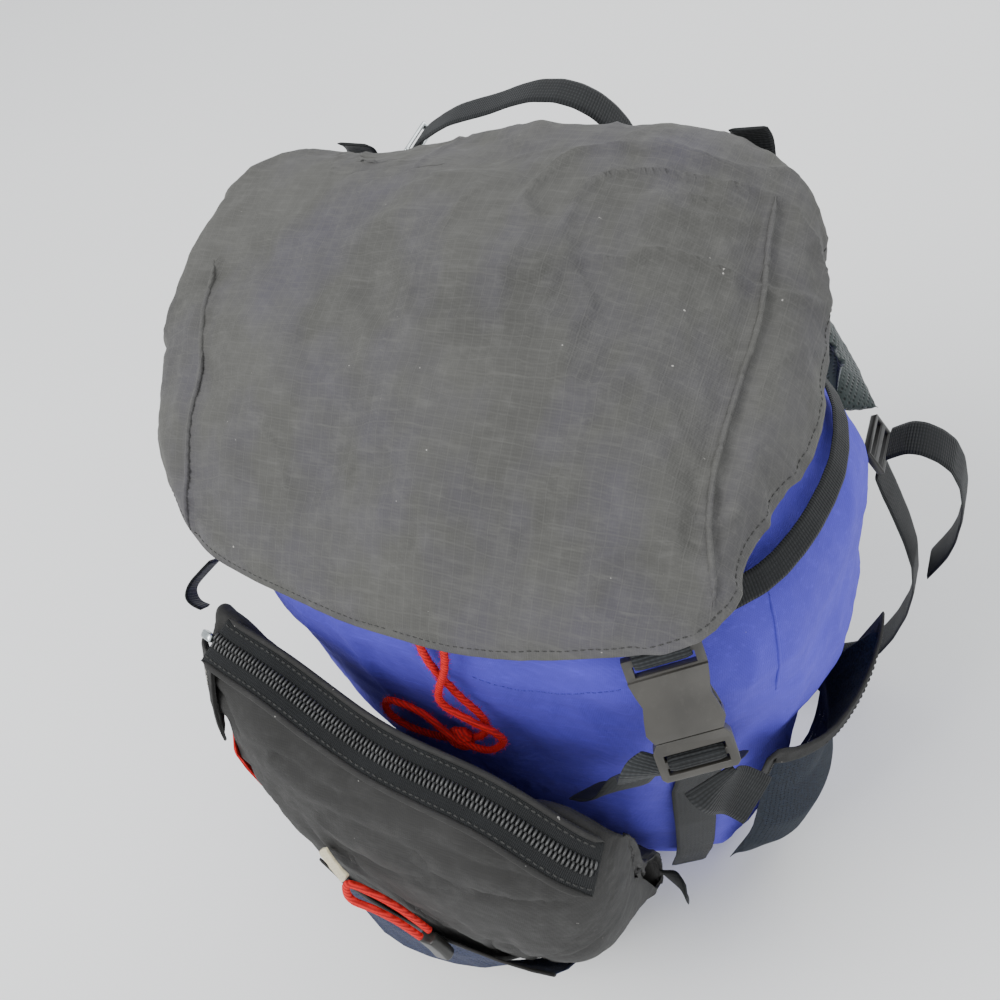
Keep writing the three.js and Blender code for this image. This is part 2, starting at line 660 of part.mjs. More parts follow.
// A point from shares of the sack's half width, half depth and height
function spot(row) {
  return new THREE.Vector3((row.x * SACK_WIDTH) / 2, (row.y * SACK_DEPTH) / 2, row.z * SACK_HEIGHT);
}

const outwards = (t, at) => new THREE.Vector3(at.x, at.y, 0).normalize();
const ACROSS_DEPTH = new THREE.Vector3(0, 1, 0);
const ACROSS_WIDTH = new THREE.Vector3(1, 0, 0);

// Cream tape and the red elastic that hangs from it, held in a sleeve further down
place(
  "lash_tab",
  ribbon([pocketAt(-0.34, 5.95, 2.6), pocketAt(-0.31, 5.92, 4), pocketAt(-0.26, 5.88, 6), pocketAt(-0.2, 5.84, 8)], {
    width: 15,
    thick: 2,
    steps: 5,
    across: new THREE.Vector3(0.3, 0.2, 0.93),
  }),
  creamTape,
);

// Round section swept along points
function rope(points, diameter, steps, sides = 8) {
  const curve = new THREE.CatmullRomCurve3(points, false, "centripetal");
  const frames = curve.computeFrenetFrames(steps, false);
  const rings = range(0, 1, steps).map((t, i) =>
    range(0, 2 * Math.PI, sides)
      .slice(0, -1)
      .map((turn) =>
        curve
          .getPointAt(t)
          .addScaledVector(frames.normals[i], (Math.cos(turn) * diameter) / 2)
          .addScaledVector(frames.binormals[i], (Math.sin(turn) * diameter) / 2),
      ),
  );
  return capped(rings);
}

place(
  "bungee_loop",
  rope(
    [
      pocketAt(0.12, 4.95, 5),
      pocketAt(0.07, 5.2, 4.5),
      pocketAt(0.0, 5.5, 4.5),
      pocketAt(-0.08, 5.8, 6.5),
      pocketAt(-0.15, 6.02, 11),
      pocketAt(-0.14, 5.86, 14.5),
      pocketAt(-0.05, 5.6, 11.5),
      pocketAt(0.02, 5.3, 10),
      pocketAt(0.095, 4.95, 10),
    ],
    BUNGEE_DIAMETER,
    20,
  ),
  redCord,
);
place(
  "bungee_sleeve",
  ribbon([pocketAt(0.115, 4.9, 8), pocketAt(0.15, 4.76, 9), pocketAt(0.18, 4.64, 11)], {
    width: 12,
    thick: 7.5,
    steps: 2,
    face: outwards,
    section: ROUNDED,
  }),
  plastic,
);

// Straps and buckle on the front right

const buckleTop = spot({ x: 0.603, y: -0.928, z: 0.865 });
const buckleEnd = spot({ x: 0.736, y: -1.16, z: 0.762 });
const buckleWay = buckleTop.clone().sub(buckleEnd).normalize();
const buckleOut = new THREE.Vector3(0.5, -1, 0.25).projectOnPlane(buckleWay).normalize();
const buckleSide = new THREE.Vector3().crossVectors(buckleWay, buckleOut).normalize();
const buckleFrame = new THREE.Matrix4().makeBasis(buckleSide, buckleWay, buckleOut).setPosition(buckleEnd);

// A flat plate with its outline in the buckle's plane: across, then up from the plug's end
function plate(outline, thick, holes = []) {
  const shape = new THREE.Shape(outline.map(([x, y]) => new THREE.Vector2(x, y)));
  for (const hole of holes) shape.holes.push(new THREE.Path(hole.map(([x, y]) => new THREE.Vector2(x, y))));
  const body = new THREE.ExtrudeGeometry(shape, { depth: thick, bevelEnabled: false });
  return body.translate(0, 0, -thick / 2);
}

function box(x0, x1, y0, y1, thick) {
  return plate([[x0, y0], [x1, y0], [x1, y1], [x0, y1]], thick);
}

const half = BUCKLE_WIDTH / 2;
const slot = WEB_WIDE / 2 + 1;
const bar = 3.2; // width of the bars that the webbing turns round

function buildSocket() {
  const from = PLUG_BASE + 1;
  const to = from + SOCKET_LENGTH;
  const outer = plate(
    [
      [-half * 0.86, from],
      [half * 0.86, from],
      [half, from + 5],
      [half * 0.93, from + 12],
      [half * 0.84, from + 18],
      [half * 0.93, from + 24],
      [half, to - 9.5],
      [-half, to - 9.5],
      [-half * 0.93, from + 24],
      [-half * 0.84, from + 18],
      [-half * 0.93, from + 12],
      [-half, from + 5],
    ],
    BUCKLE_THICK,
  );
  const frame = box(-half, half, to - 10, to, BUCKLE_THICK * 0.55);
  const mouth = box(-half * 0.72, half * 0.72, from - 1, from + PLUG_PRONG + 1.5, BUCKLE_THICK - 3.6);
  const windows = box(-half - 2, half + 2, from + 8, from + 21, BUCKLE_THICK - 3.6);
  const webSlot = box(-slot, slot, to - 8.5, to - bar, BUCKLE_THICK * 2);
  return cut(joined(outer, frame), mouth, windows, webSlot).applyMatrix4(buckleFrame);
}
place("buckle_socket", buildSocket(), plastic);

function buildPlug() {
  const thin = BUCKLE_THICK - 4.4;
  const base = plate(
    [
      [-half * 0.9, 0],
      [half * 0.9, 0],
      [half, 2],
      [half, PLUG_BASE - 4],
      [half * 0.86, PLUG_BASE],
      [-half * 0.86, PLUG_BASE],
      [-half, PLUG_BASE - 4],
      [-half, 2],
    ],
    BUCKLE_THICK * 0.8,
  );
  const middleProng = box(-2.2, 2.2, PLUG_BASE - 1, PLUG_BASE + PLUG_PRONG - 2, thin);
  const prong = (side) =>
    plate(
      [
        [side * half * 0.42, PLUG_BASE - 1],
        [side * half * 0.64, PLUG_BASE - 1],
        [side * half * 0.68, PLUG_BASE + 9],
        [side * half * 0.86, PLUG_BASE + 12],
        [side * half * 0.86, PLUG_BASE + 19],
        [side * half * 0.6, PLUG_BASE + PLUG_PRONG - 2],
        [side * half * 0.44, PLUG_BASE + PLUG_PRONG - 3],
      ],
      thin,
    );
  const whole = joined(base, middleProng, prong(-1), prong(1));
  const slots = [
    box(-slot, slot, bar, bar + 3.4, BUCKLE_THICK * 2),
    box(-slot, slot, 2 * bar + 3.4, 2 * bar + 6.4, BUCKLE_THICK * 2),
  ];
  return cut(whole, ...slots).applyMatrix4(buckleFrame);
}
place("buckle_plug", buildPlug(), plastic);

const buckleSpot = (x, y, z) => new THREE.Vector3(x, y, z).applyMatrix4(buckleFrame);
const socketEnd = PLUG_BASE + 1 + SOCKET_LENGTH;

place(
  "lid_strap_right",
  ribbon(
    [
      buckleSpot(0, socketEnd + 15, -5),
      buckleSpot(0, socketEnd + 9, -1),
      buckleSpot(0, socketEnd + 2.5, 3),
      buckleSpot(0, socketEnd - 1.6, 4.3),
      buckleSpot(0, socketEnd - 5.4, 2.6),
      buckleSpot(0, socketEnd - 5.9, 0),
      buckleSpot(0, socketEnd - 5.4, -2.8),
      buckleSpot(0, socketEnd - 1.6, -4.4),
      buckleSpot(0, socketEnd + 0.5, -4.7),
    ],
    { steps: 20, across: buckleSide },
  ),
  webbing,
);

place(
  "front_strap_right",
  ribbon(
    [
      buckleSpot(0, 4.9, 1),
      buckleSpot(0, 6, 4.9),
      buckleSpot(0, 8.2, 5.6),
      buckleSpot(0, 10.6, 4.6),
      buckleSpot(0, 11.3, 0),
      buckleSpot(0, 10.4, -4.9),
      buckleSpot(0, 6, -6),
      buckleSpot(0, -4, -7),
      beside({ turn: -41, up: 0.63, out: 6 }),
      beside({ turn: -42, up: 0.5, out: 4 }),
      beside({ turn: -42, up: 0.36, out: 4 }),
      beside({ turn: -42, up: 0.2, out: 4 }),
      beside({ turn: -42, up: 0.07, out: 4 }),
    ],
    { steps: 30, across: buckleSide },
  ),
  webbing,
);

// The free ends of the webbing, which turn from the buckle's face towards the front and up
const tailFace = (t) => buckleOut.clone().lerp(new THREE.Vector3(0.36, -0.51, 0.78), t);
place(
  "strap_tail_left",
  ribbon(
    [
      buckleSpot(-18.6, 9.5, -6.4),
      buckleSpot(-25, 0, -6.8),
      spot({ x: 0.535, y: -1.085, z: 0.662 }),
      spot({ x: 0.462, y: -1.109, z: 0.601 }),
      spot({ x: 0.35, y: -1.1, z: 0.564 }),
    ],
    { steps: 12, across: buckleSide, narrow: (t) => Math.min(1, 0.45 + 2.5 * t) }, // gathered behind the buckle
  ),
  webbing,
);

place(
  "strap_tail_right",
  ribbon(
    [
      buckleSpot(1, -5.5, -0.5),
      buckleSpot(3, -11, 0.5),
      spot({ x: 0.815, y: -1.125, z: 0.712 }),
      spot({ x: 0.866, y: -1.109, z: 0.689 }),
    ],
    { steps: 8, face: tailFace },
  ),
  webbing,
);

place(
  "strap_end",
  ribbon([spot({ x: 0.54, y: -0.975, z: 0.19 }), spot({ x: 0.57, y: -1, z: 0.205 }), spot({ x: 0.605, y: -1.035, z: 0.222 })], {
    steps: 6,
    face: tailFace,
    narrow: (t) => (t > 0.99 ? 0.35 : 1),
  }),
  webbing,
);

place(
  "compression_strap_right",
  ribbon(
    [34, 20, 6, -8, -20, -31].map((turn) => beside({ turn, up: 0.85, out: 5 })),
    { width: 0.7 * WEB_NARROW, steps: 12, across: (t, at) => new THREE.Vector3(at.x, at.y, 0).normalize().multiplyScalar(-0.7).setZ(1) },
  ),
  webbing,
);

place(
  "lid_tail_left",
  ribbon(
    [
      spot({ x: -0.752, y: -0.93, z: 0.83 }),
      spot({ x: -0.783, y: -1, z: 0.822 }),
      spot({ x: -0.797, y: -1.056, z: 0.819 }),
      spot({ x: -0.794, y: -1.095, z: 0.812 }),
      spot({ x: -0.774, y: -1.11, z: 0.807 }),
      spot({ x: -0.751, y: -1.108, z: 0.803 }),
    ],
    { width: WEB_NARROW, steps: 12, across: new THREE.Vector3(0.356, -0.512, 0.782) },
  ),
  webbing,
);

// Net pockets on both sides: open at the top, sewn at the bottom and the two ends
const SIDE_POCKET_FOOT = 0.07; // share of its height
function buildSidePocket(middleTurn, spanTurn) {
  const surface = (u, v, lift) => {
    const turn = radians(middleTurn + (u * spanTurn) / 2);
    const z = SIDE_POCKET_HEIGHT * THREE.MathUtils.lerp(SIDE_POCKET_FOOT, 1, v);
    const at = sackSkin(turn, z);
    return at.add(new THREE.Vector3(Math.cos(turn), Math.sin(turn), 0).multiplyScalar(lift));
  };
  const belly = (u, v) => {
    const across = 1 - Math.abs(u) ** 2.6;
    const upwards = Math.sin(Math.min(v / 0.35, 1) * (Math.PI / 2)) * (1 - 0.75 * THREE.MathUtils.smoothstep(v, 0.4, 1));
    return SIDE_POCKET_LIFT + SIDE_POCKET_BULGE * across * upwards;
  };
  const rim = (u, v) => 1 - 0.08 * (1 - u * u) * v;
  return sheetOn(
    (u, v, lift) => surface(u, v * rim(u, v), lift),
    range(-1, 1, 10),
    [0, 0.12, 0.28, 0.5, 0.75, 1],
    belly,
    (u, v) => belly(u, v) + NET_THICK,
  );
}
place("side_mesh_right", buildSidePocket(-13.5, 35), net);
place("side_mesh_left", buildSidePocket(177, 40), net);

// Padded back, with a hollow down its middle

const BACK_FOOT = 0.07; // shares of the back's height
function backSkin(u, v) {
  const z = BACK_HEIGHT * THREE.MathUtils.lerp(BACK_FOOT, 1, v);
  const narrow = THREE.MathUtils.lerp(0.8, 1, THREE.MathUtils.smoothstep(v, 0, 0.6)) - 0.12 * THREE.MathUtils.smoothstep(v, 0.75, 1);
  const x = (u * BACK_WIDTH * narrow) / 2 + BACK_RIGHT;
  return new THREE.Vector3(x, sackFace(x, Math.min(z, 0.77 * SACK_HEIGHT), 1) + 2.5 + 4 * u ** 4, z);
}
function backPad(u, v) {
  const edge = (1 - Math.abs(u) ** 5) * (1 - Math.abs(2 * v - 1) ** 7);
  const hollow = 0.45 * Math.exp(-((u / 0.22) ** 2)) * Math.min(1, 6 * v * (1 - v));
  return 3 + (BACK_PAD - 3) * edge * (1 - hollow);
}
place(
  "back_panel",
  sheetOn(
    (u, v, lift) => backSkin(u, v).add(new THREE.Vector3(0, lift, 0)),
    [-1, -0.93, -0.75, -0.5, -0.25, 0, 0.25, 0.5, 0.75, 0.93, 1],
    [0, 0.05, 0.15, 0.32, 0.5, 0.68, 0.85, 0.95, 1],
    () => 0,
    backPad,
  ),
  padCloth,
);

// Shoulder straps: padded from the top of the back, then a lock, and webbing down to the bottom corner.
// The rows give the right-hand one, and the left-hand one mirrors it about the middle of the back.

const shoulderRows = [
  { x: 0.34, y: 1.2, z: 0.84 },
  { x: 0.35, y: 1.29, z: 0.865 },
  { x: 0.4, y: 1.37, z: 0.84 },
  { x: 0.48, y: 1.39, z: 0.78 },
  { x: 0.6, y: 1.36, z: 0.72 },
  { x: 0.74, y: 1.27, z: 0.68 },
  { x: 0.84, y: 1.14, z: 0.665 },
  { x: 0.9, y: 1.02, z: 0.66 },
];
const shoulderWebRows = [
  { x: 0.985, y: 0.9, z: 0.594 },
  { x: 1.015, y: 0.89, z: 0.565 },
  { x: 1.07, y: 0.88, z: 0.52 },
  { x: 1.18, y: 0.88, z: 0.375 },
  { x: 1.14, y: 0.88, z: 0.2 },
  { x: 1.02, y: 0.9, z: 0.085 },
  { x: 0.86, y: 0.9, z: 0.045 },
  { x: 0.72, y: 0.86, z: 0.036 },
];
const shoulderTailRows = [
  { x: 1.005, y: 0.88, z: 0.645 },
  { x: 1.08, y: 0.88, z: 0.665 },
  { x: 1.2, y: 0.88, z: 0.645 },
  { x: 1.27, y: 0.88, z: 0.57 },
  { x: 1.27, y: 0.88, z: 0.47 },
  { x: 1.22, y: 0.88, z: 0.4 },
];
const lockAt = spot({ x: 0.968, y: 0.93, z: 0.625 });

function placeShoulder(side, name) {
  const turned = (point) => (side > 0 ? point : point.clone().setX(2 * BACK_RIGHT - point.x));
  const mirrored = (rows) => rows.map((row) => turned(spot(row)));
  const pad = ribbon(mirrored(shoulderRows), {
    width: SHOULDER_WIDTH,
    thick: SHOULDER_THICK,
    steps: 14,
    section: ROUNDED,
    narrow: (t) => 1 - 0.45 * THREE.MathUtils.smoothstep(t, 0.45, 1),
    across: (t) => new THREE.Vector3(1, 0, 0).lerp(new THREE.Vector3(side * 0.2, 0.9, -0.3), THREE.MathUtils.smoothstep(t, 0.15, 0.95)),
  });
  place("shoulder_strap_" + name, pad, padCloth);
  place("shoulder_webbing_" + name, ribbon(mirrored(shoulderWebRows), { steps: 18, across: ACROSS_DEPTH }), webbing);
  place("shoulder_tail_" + name, ribbon(mirrored(shoulderTailRows), { steps: 12, across: ACROSS_DEPTH }), webbing);
  const lock = cut(
    new THREE.BoxGeometry(20, 31, 4.4),
    new THREE.BoxGeometry(4.4, 26.4, 9).translate(-5, 0, 0),
    new THREE.BoxGeometry(4.4, 26.4, 9).translate(4, 0, 0),
  );
  lock.applyMatrix4(new THREE.Matrix4().makeRotationY(side * radians(58)));
  const at = turned(lockAt);
  place("ladder_lock_" + name, lock.translate(at.x, at.y, at.z), plastic);
}
placeShoulder(1, "right");
placeShoulder(-1, "left");

// Haul loop at the top of the back, with its metal keeper, and the straps that tie the lid to the back

const KEEPER_AT = 0.27; // share of the way along the loop

const loopRows = [
  { x: -0.56, y: 1.1, z: 0.93 },
  { x: -0.61, y: 1.1, z: 0.965 },
  { x: -0.575, y: 1.11, z: 0.998 },
  { x: -0.45, y: 1.11, z: 1.035 },
  { x: -0.28, y: 1.11, z: 1.058 },
  { x: -0.06, y: 1.11, z: 1.08 },
  { x: 0.08, y: 1.12, z: 1.055 },
  { x: 0.16, y: 1.13, z: 1.0 },
  { x: 0.17, y: 1.12, z: 0.93 },
];
place("haul_loop", ribbon(loopRows.map(spot), { width: WEB_NARROW, thick: 2.2, steps: 22, across: ACROSS_DEPTH }), webbing);

function buildKeeper() {
  const curve = new THREE.CatmullRomCurve3(loopRows.map(spot), false, "centripetal");
  const [at, way] = [curve.getPoint(KEEPER_AT), curve.getTangent(KEEPER_AT)];
  const up = new THREE.Vector3().crossVectors(way, ACROSS_DEPTH).normalize();
  const frame = new THREE.Matrix4().makeBasis(ACROSS_DEPTH, up, way).setPosition(at);
  const ring = cut(new THREE.BoxGeometry(WEB_NARROW + 7, 8, 4), new THREE.BoxGeometry(WEB_NARROW + 1.4, 3.8, 9));
  return ring.applyMatrix4(frame);
}
place("haul_keeper", buildKeeper(), metal);

function lidTie(name, rows) {
  place(name, ribbon(rows.map(spot), { width: WEB_NARROW, steps: 8, across: ACROSS_WIDTH }), webbing);
}
lidTie("lid_tie_right", [
  { x: 0.52, y: 1.1, z: 0.93 },
  { x: 0.52, y: 1.13, z: 0.99 },
  { x: 0.51, y: 1.13, z: 1.03 },
  { x: 0.5, y: 1.1, z: 1.045 },
]);
lidTie("lid_tie_left", [
  { x: -0.76, y: 1.08, z: 0.93 },
  { x: -0.76, y: 1.06, z: 0.97 },
  { x: -0.76, y: 1.05, z: 1.0 },
  { x: -0.76, y: 1.0, z: 1.015 },
]);

// Drawcord of the collar: one length whose two ends go up under the lid, knotted together where they hang

const cordRows = [
  { x: -0.05, y: -0.985, z: 0.885 },
  { x: -0.047, y: -1.03, z: 0.855 },
  { x: -0.035, y: -1.07, z: 0.8 },
  { x: 0.012, y: -1.075, z: 0.733 },
  { x: 0.06, y: -1.065, z: 0.672 },
  { x: 0.03, y: -1.06, z: 0.622 },
  { x: -0.05, y: -1.055, z: 0.59 },
  { x: -0.17, y: -1.055, z: 0.568 },
  { x: -0.28, y: -1.055, z: 0.575 },
  { x: -0.31, y: -1.065, z: 0.612 },
  { x: -0.27, y: -1.07, z: 0.652 },
  { x: -0.17, y: -1.07, z: 0.642 },
  { x: -0.065, y: -1.1, z: 0.61 },
  { x: 0.04, y: -1.1, z: 0.602 },
  { x: 0.105, y: -1.08, z: 0.628 },
  { x: 0.1, y: -1.09, z: 0.655 },
  { x: 0.045, y: -1.115, z: 0.69 },
  { x: -0.02, y: -1.13, z: 0.733 },
  { x: 0.025, y: -1.08, z: 0.8 },
  { x: 0.037, y: -1.03, z: 0.855 },
  { x: 0.037, y: -0.985, z: 0.885 },
];
const cordPath = cordRows.map(spot);
const CORD_STEPS = 60;
place("drawcord", rope(cordPath, CORD_DIAMETER, CORD_STEPS), redCord);

function buildKnot() {
  const lump = new THREE.SphereGeometry(1, 12, 8).scale(8.5, 6, 8);
  const at = spot({ x: -0.055, y: -1.078, z: 0.6 });
  return cut(lump.translate(at.x, at.y, at.z), rope(cordPath, CORD_DIAMETER + 2 * GAP, CORD_STEPS));
}
place("drawcord_knot", buildKnot(), redCord);

export default root;
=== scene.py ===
"""Hiking backpack: cloth, webbing, net, plastic and metal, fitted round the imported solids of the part"""

import math

import bmesh
import bpy
import numpy as np
from mathutils import Matrix, Vector
from mathutils.bvhtree import BVHTree


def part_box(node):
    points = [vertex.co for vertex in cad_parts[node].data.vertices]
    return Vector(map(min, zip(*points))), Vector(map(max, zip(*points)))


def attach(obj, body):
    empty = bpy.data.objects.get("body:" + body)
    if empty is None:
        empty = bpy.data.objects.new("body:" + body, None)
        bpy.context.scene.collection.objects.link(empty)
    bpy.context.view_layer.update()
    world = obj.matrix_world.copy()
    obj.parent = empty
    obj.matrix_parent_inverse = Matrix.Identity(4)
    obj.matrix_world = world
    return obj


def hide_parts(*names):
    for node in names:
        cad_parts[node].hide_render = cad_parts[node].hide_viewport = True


bl_info = {
    "name": "Hiking Backpack",
    "version": (1, 0, 0),
    "blender": (4, 5, 0),
    "location": "3D Viewport > Sidebar > Backpack",
    "description": "Dresses a hiking backpack in cloth, webbing, net, plastic and metal",
    "category": "Object",
}

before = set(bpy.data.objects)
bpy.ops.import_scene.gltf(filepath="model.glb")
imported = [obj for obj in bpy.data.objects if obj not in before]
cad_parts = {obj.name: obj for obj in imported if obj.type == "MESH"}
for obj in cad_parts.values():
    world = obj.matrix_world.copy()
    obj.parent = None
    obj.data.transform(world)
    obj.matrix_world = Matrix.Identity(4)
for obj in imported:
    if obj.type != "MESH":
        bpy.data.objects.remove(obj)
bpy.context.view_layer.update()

MM = 0.001
SACK_WIDTH = 348 * MM
SACK_DEPTH = 238 * MM
SACK_HEIGHT = 464 * MM

# The camera of the photograph: turn and height above the floor in degrees, roll, place and lens
CAMERA_TURN = math.radians(34.84)
CAMERA_HEIGHT = math.radians(51.4)
CAMERA_ROLL = math.radians(-17.58)
CAMERA_PLACE = Vector((184.37, -303.21, 784.90)) * MM
CAMERA_LENS = 36.69
SENSOR = 36.0
PHOTO_SIDE = 1000


# ---- sizes and colours that can be set -------------------------------------------------------------


def colour(name, description, default):
    return bpy.props.FloatVectorProperty(
        name=name, description=description, default=default, size=3, min=0, max=1, subtype="COLOR"
    )


def length(name, description, default):
    return bpy.props.FloatProperty(
        name=name, description=description, default=default, min=0, soft_max=0.02, unit="LENGTH", precision=4
    )


class BackpackCloth(bpy.types.PropertyGroup):
    lid_colour: colour("Lid", "Colour of the lid's cloth", (0.07, 0.069, 0.064))
    sack_colour: colour("Sack", "Colour of the main sack's cloth", (0.07, 0.058, 0.46))
    pocket_colour: colour("Pocket", "Colour of the front pocket's cloth", (0.024, 0.0235, 0.0225))
    pad_colour: colour("Padding", "Colour of the padded back and shoulder straps", (0.013, 0.018, 0.017))
    wall: length("Cloth", "Thickness of the cloth", 1.1 * MM)
    weave: length("Weave", "Pitch of the threads that show in the cloth", 1.05 * MM)


class BackpackTrim(bpy.types.PropertyGroup):
    webbing_colour: colour("Webbing", "Colour of the webbing", (0.014, 0.0155, 0.0165))
    net_colour: colour("Net", "Colour of the net pockets", (0.006, 0.01, 0.018))
    cord_colour: colour("Cord", "Colour of the red cord, elastic and patch", (0.62, 0.018, 0.016))
    plastic_colour: colour("Plastic", "Colour of the moulded buckles", (0.05, 0.047, 0.041))
    metal_colour: colour("Metal", "Colour of the metal keeper", (0.62, 0.66, 0.66))
    tape_colour: colour("Tape", "Colour of the cream tape", (0.55, 0.49, 0.33))
    tooth_pitch: length("Zip teeth", "Pitch of the zip's coil", 2.3 * MM)
    net_pitch: length("Net", "Pitch of the holes in the net", 3.3 * MM)
    stitch: length("Stitches", "Length of one stitch", 2.5 * MM)
    rib: length("Ribs", "Pitch of the ribs across the webbing", 1.5 * MM)


def cloth_settings():
    return bpy.context.scene.backpack_cloth


def trim_settings():
    return bpy.context.scene.backpack_trim


# ---- materials -------------------------------------------------------------------------------------


class Finish:
    """One material's node tree; nodes are added by name, with sockets or plain values as their inputs"""

    def __init__(self, name):
        self.material = bpy.data.materials.new(name)
        self.material.use_nodes = True
        self.tree = self.material.node_tree
        self.shader = self.tree.nodes["Principled BSDF"]

    def add(self, kind, inputs=(), **settings):
        node = self.tree.nodes.new("ShaderNode" + kind)
        for key, value in settings.items():
            setattr(node, key, value)
        for socket, value in dict(inputs).items():
            self.feed(node.inputs[socket], value)
        return node

    def feed(self, socket, value):
        if isinstance(value, bpy.types.NodeSocket):
            self.tree.links.new(value, socket)
        else:
            socket.default_value = value

    def set(self, **values):
        for key, value in values.items():
            self.feed(self.shader.inputs[key.replace("_", " ")], value)
        return self

    def place(self, scale=(1, 1, 1), uv=False):
        spot = self.add("TexCoord")
        made = self.add("Mapping", {"Vector": spot.outputs["UV" if uv else "Object"], "Scale": scale})
        return made.outputs["Vector"]

    def noise(self, size, detail=2.0, rough=0.5, stretch=(1, 1, 1), uv=False):
        place = self.place(stretch, uv)
        inputs = {"Vector": place, "Scale": 1 / size, "Detail": detail, "Roughness": rough}
        return self.add("TexNoise", inputs).outputs["Fac"]

    def waves(self, pitch, axis, uv=False, bend=0.0):
        """Threads: bands of the given pitch along one axis"""
        made = self.add(
            "TexWave",
            {"Vector": self.place((1, 1, 1), uv), "Scale": math.pi / 10 / pitch, "Distortion": bend, "Detail": 1.0},
            wave_type="BANDS",
            bands_direction=axis,
        )
        return made.outputs["Fac"]

    def math(self, what, a, b=0.0, c=0.0):
        return self.add("Math", {0: a, 1: b, 2: c}, operation=what).outputs[0]

    def band(self, value, low, high, start=0.0, end=1.0):
        made = self.add(
            "MapRange", {"Value": value, "From Min": low, "From Max": high, "To Min": start, "To Max": end}
        )
        return made.outputs["Result"]

    def mixed(self, amount, a, b, blend="MIX"):
        node = self.add("Mix", data_type="RGBA", blend_type=blend)
        self.feed(node.inputs["Factor"], amount)
        self.feed(node.inputs[6], rgba(a))
        self.feed(node.inputs[7], rgba(b))
        return node.outputs[2]

    def bump(self, height, depth, strength=1.0, under=None):
        inputs = {"Height": height, "Distance": depth, "Strength": strength}
        if under is not None:
            inputs["Normal"] = under
        return self.add("Bump", inputs).outputs["Normal"]


def rgba(value):
    if isinstance(value, bpy.types.NodeSocket):
        return value
    return (*value[:3], 1.0)


def times(shade, amount):
    return tuple(min(1.0, part * amount) for part in shade[:3])


def woven(name, shade, pitch, wear_and_highlight_share, sheen=0.25, rough=0.85, lint=0.5, ripstop=0.0, cast=None):
    """Woven nylon: crossing threads, patches of wear, rubbed places, and specks of lint"""
    f = Finish(name)
    threads = [f.waves(pitch, axis, bend=0.35) for axis in ("X", "Y", "Z")]
    cross = f.math("ADD", f.math("ADD", threads[0], threads[1]), threads[2])
    weave = f.band(cross, 0.6, 2.4)
    patches = f.band(f.noise(0.075, 4.0, 0.6), 0.36, 0.66)
    wear_and_highlight = f.band(f.noise(0.011, 5.0, 0.65), 0.48, 0.74)
    slub = f.band(f.noise(0.0022, 2.0, 0.5, (0.12, 1, 1)), 0.55, 0.78)
    tone = f.mixed(patches, times(shade, 0.84), times(shade, 1.13))
    if cast is not None:
        tone = f.mixed(f.band(f.noise(0.05, 3.0, 0.5, (1.3, 0.7, 1)), 0.45, 0.75, 0.0, 0.55), tone, cast)
    tone = f.mixed(f.math("MULTIPLY", weave, 0.16), tone, times(shade, 1.7))
    tone = f.mixed(f.math("MULTIPLY", slub, 0.28), tone, times(shade, 1.9))
    tone = f.mixed(f.math("MULTIPLY", wear_and_highlight, wear_and_highlight_share), tone, times(shade, 2.1))
    relief = weave
    if ripstop:
        lines = [f.band(f.waves(ripstop, axis), 0.94, 1.0) for axis in ("X", "Y")]
        grid = f.math("MAXIMUM", *lines)
        tone = f.mixed(f.math("MULTIPLY", grid, 0.22), tone, times(shade, 1.7))
        relief = f.math("ADD", weave, f.math("MULTIPLY", grid, 0.8))
    specks = f.band(f.noise(0.0042, 2.0, 0.6), 0.765, 0.79)
    tone = f.mixed(f.math("MULTIPLY", specks, lint), tone, (0.62, 0.6, 0.56))
    fine = f.bump(relief, 0.22 * MM, 0.45)
    soft = f.bump(f.noise(0.0065, 4.0, 0.6), 0.9 * MM, 0.5, fine)
    f.set(Base_Color=tone, Roughness=f.band(wear_and_highlight, 0, 1, rough, rough - 0.14), Normal=soft)
    f.set(Specular_IOR_Level=0.32, Sheen_Weight=sheen, Sheen_Roughness=0.5, Sheen_Tint=rgba(times(shade, 3)))
    return f.material


def ribbed(name, shade, pitch, wear_and_highlight_share=0.1):
    """Webbing: ribs across its length, broken by the lengthwise yarns, with painted shade in the grooves and lighter
    patches of painted highlight on the ribs
    """
    f = Finish(name)
    ribs = f.waves(pitch, "X", uv=True, bend=0.4)
    yarns = f.waves(pitch * 1.7, "Y", uv=True, bend=0.6)
    relief = f.math("MULTIPLY", ribs, f.band(yarns, 0, 1, 0.6, 1.0))
    wear_and_highlight = f.band(f.noise(0.02, 5.0, 0.6, uv=True), 0.42, 0.7)
    # painted shade: the grooves between the ribs are painted darker and the rib tops a little lighter
    tone = f.mixed(f.band(relief, 0.2, 0.9), times(shade, 0.4), times(shade, 1.15))
    # painted highlight: lighter patches where light catches the ribs
    tone = f.mixed(f.math("MULTIPLY", wear_and_highlight, wear_and_highlight_share), tone, times(shade, 3.2))
    f.set(Base_Color=tone, Roughness=0.62, Normal=f.bump(relief, 0.45 * MM, 0.9))
    f.set(Specular_IOR_Level=0.25, Sheen_Weight=0.04, Sheen_Roughness=0.4)
    return f.material


def netted(name, shade):
    f = Finish(name)
    yarn = f.noise(0.0016, 2.0, 0.6)
    tone = f.mixed(f.band(yarn, 0.35, 0.7), times(shade, 0.5), times(shade, 2.2))
    f.set(Base_Color=tone, Roughness=0.8, Normal=f.bump(yarn, 0.2 * MM, 0.5))
    f.set(Specular_IOR_Level=0.1, Sheen_Weight=0.03)
    return f.material


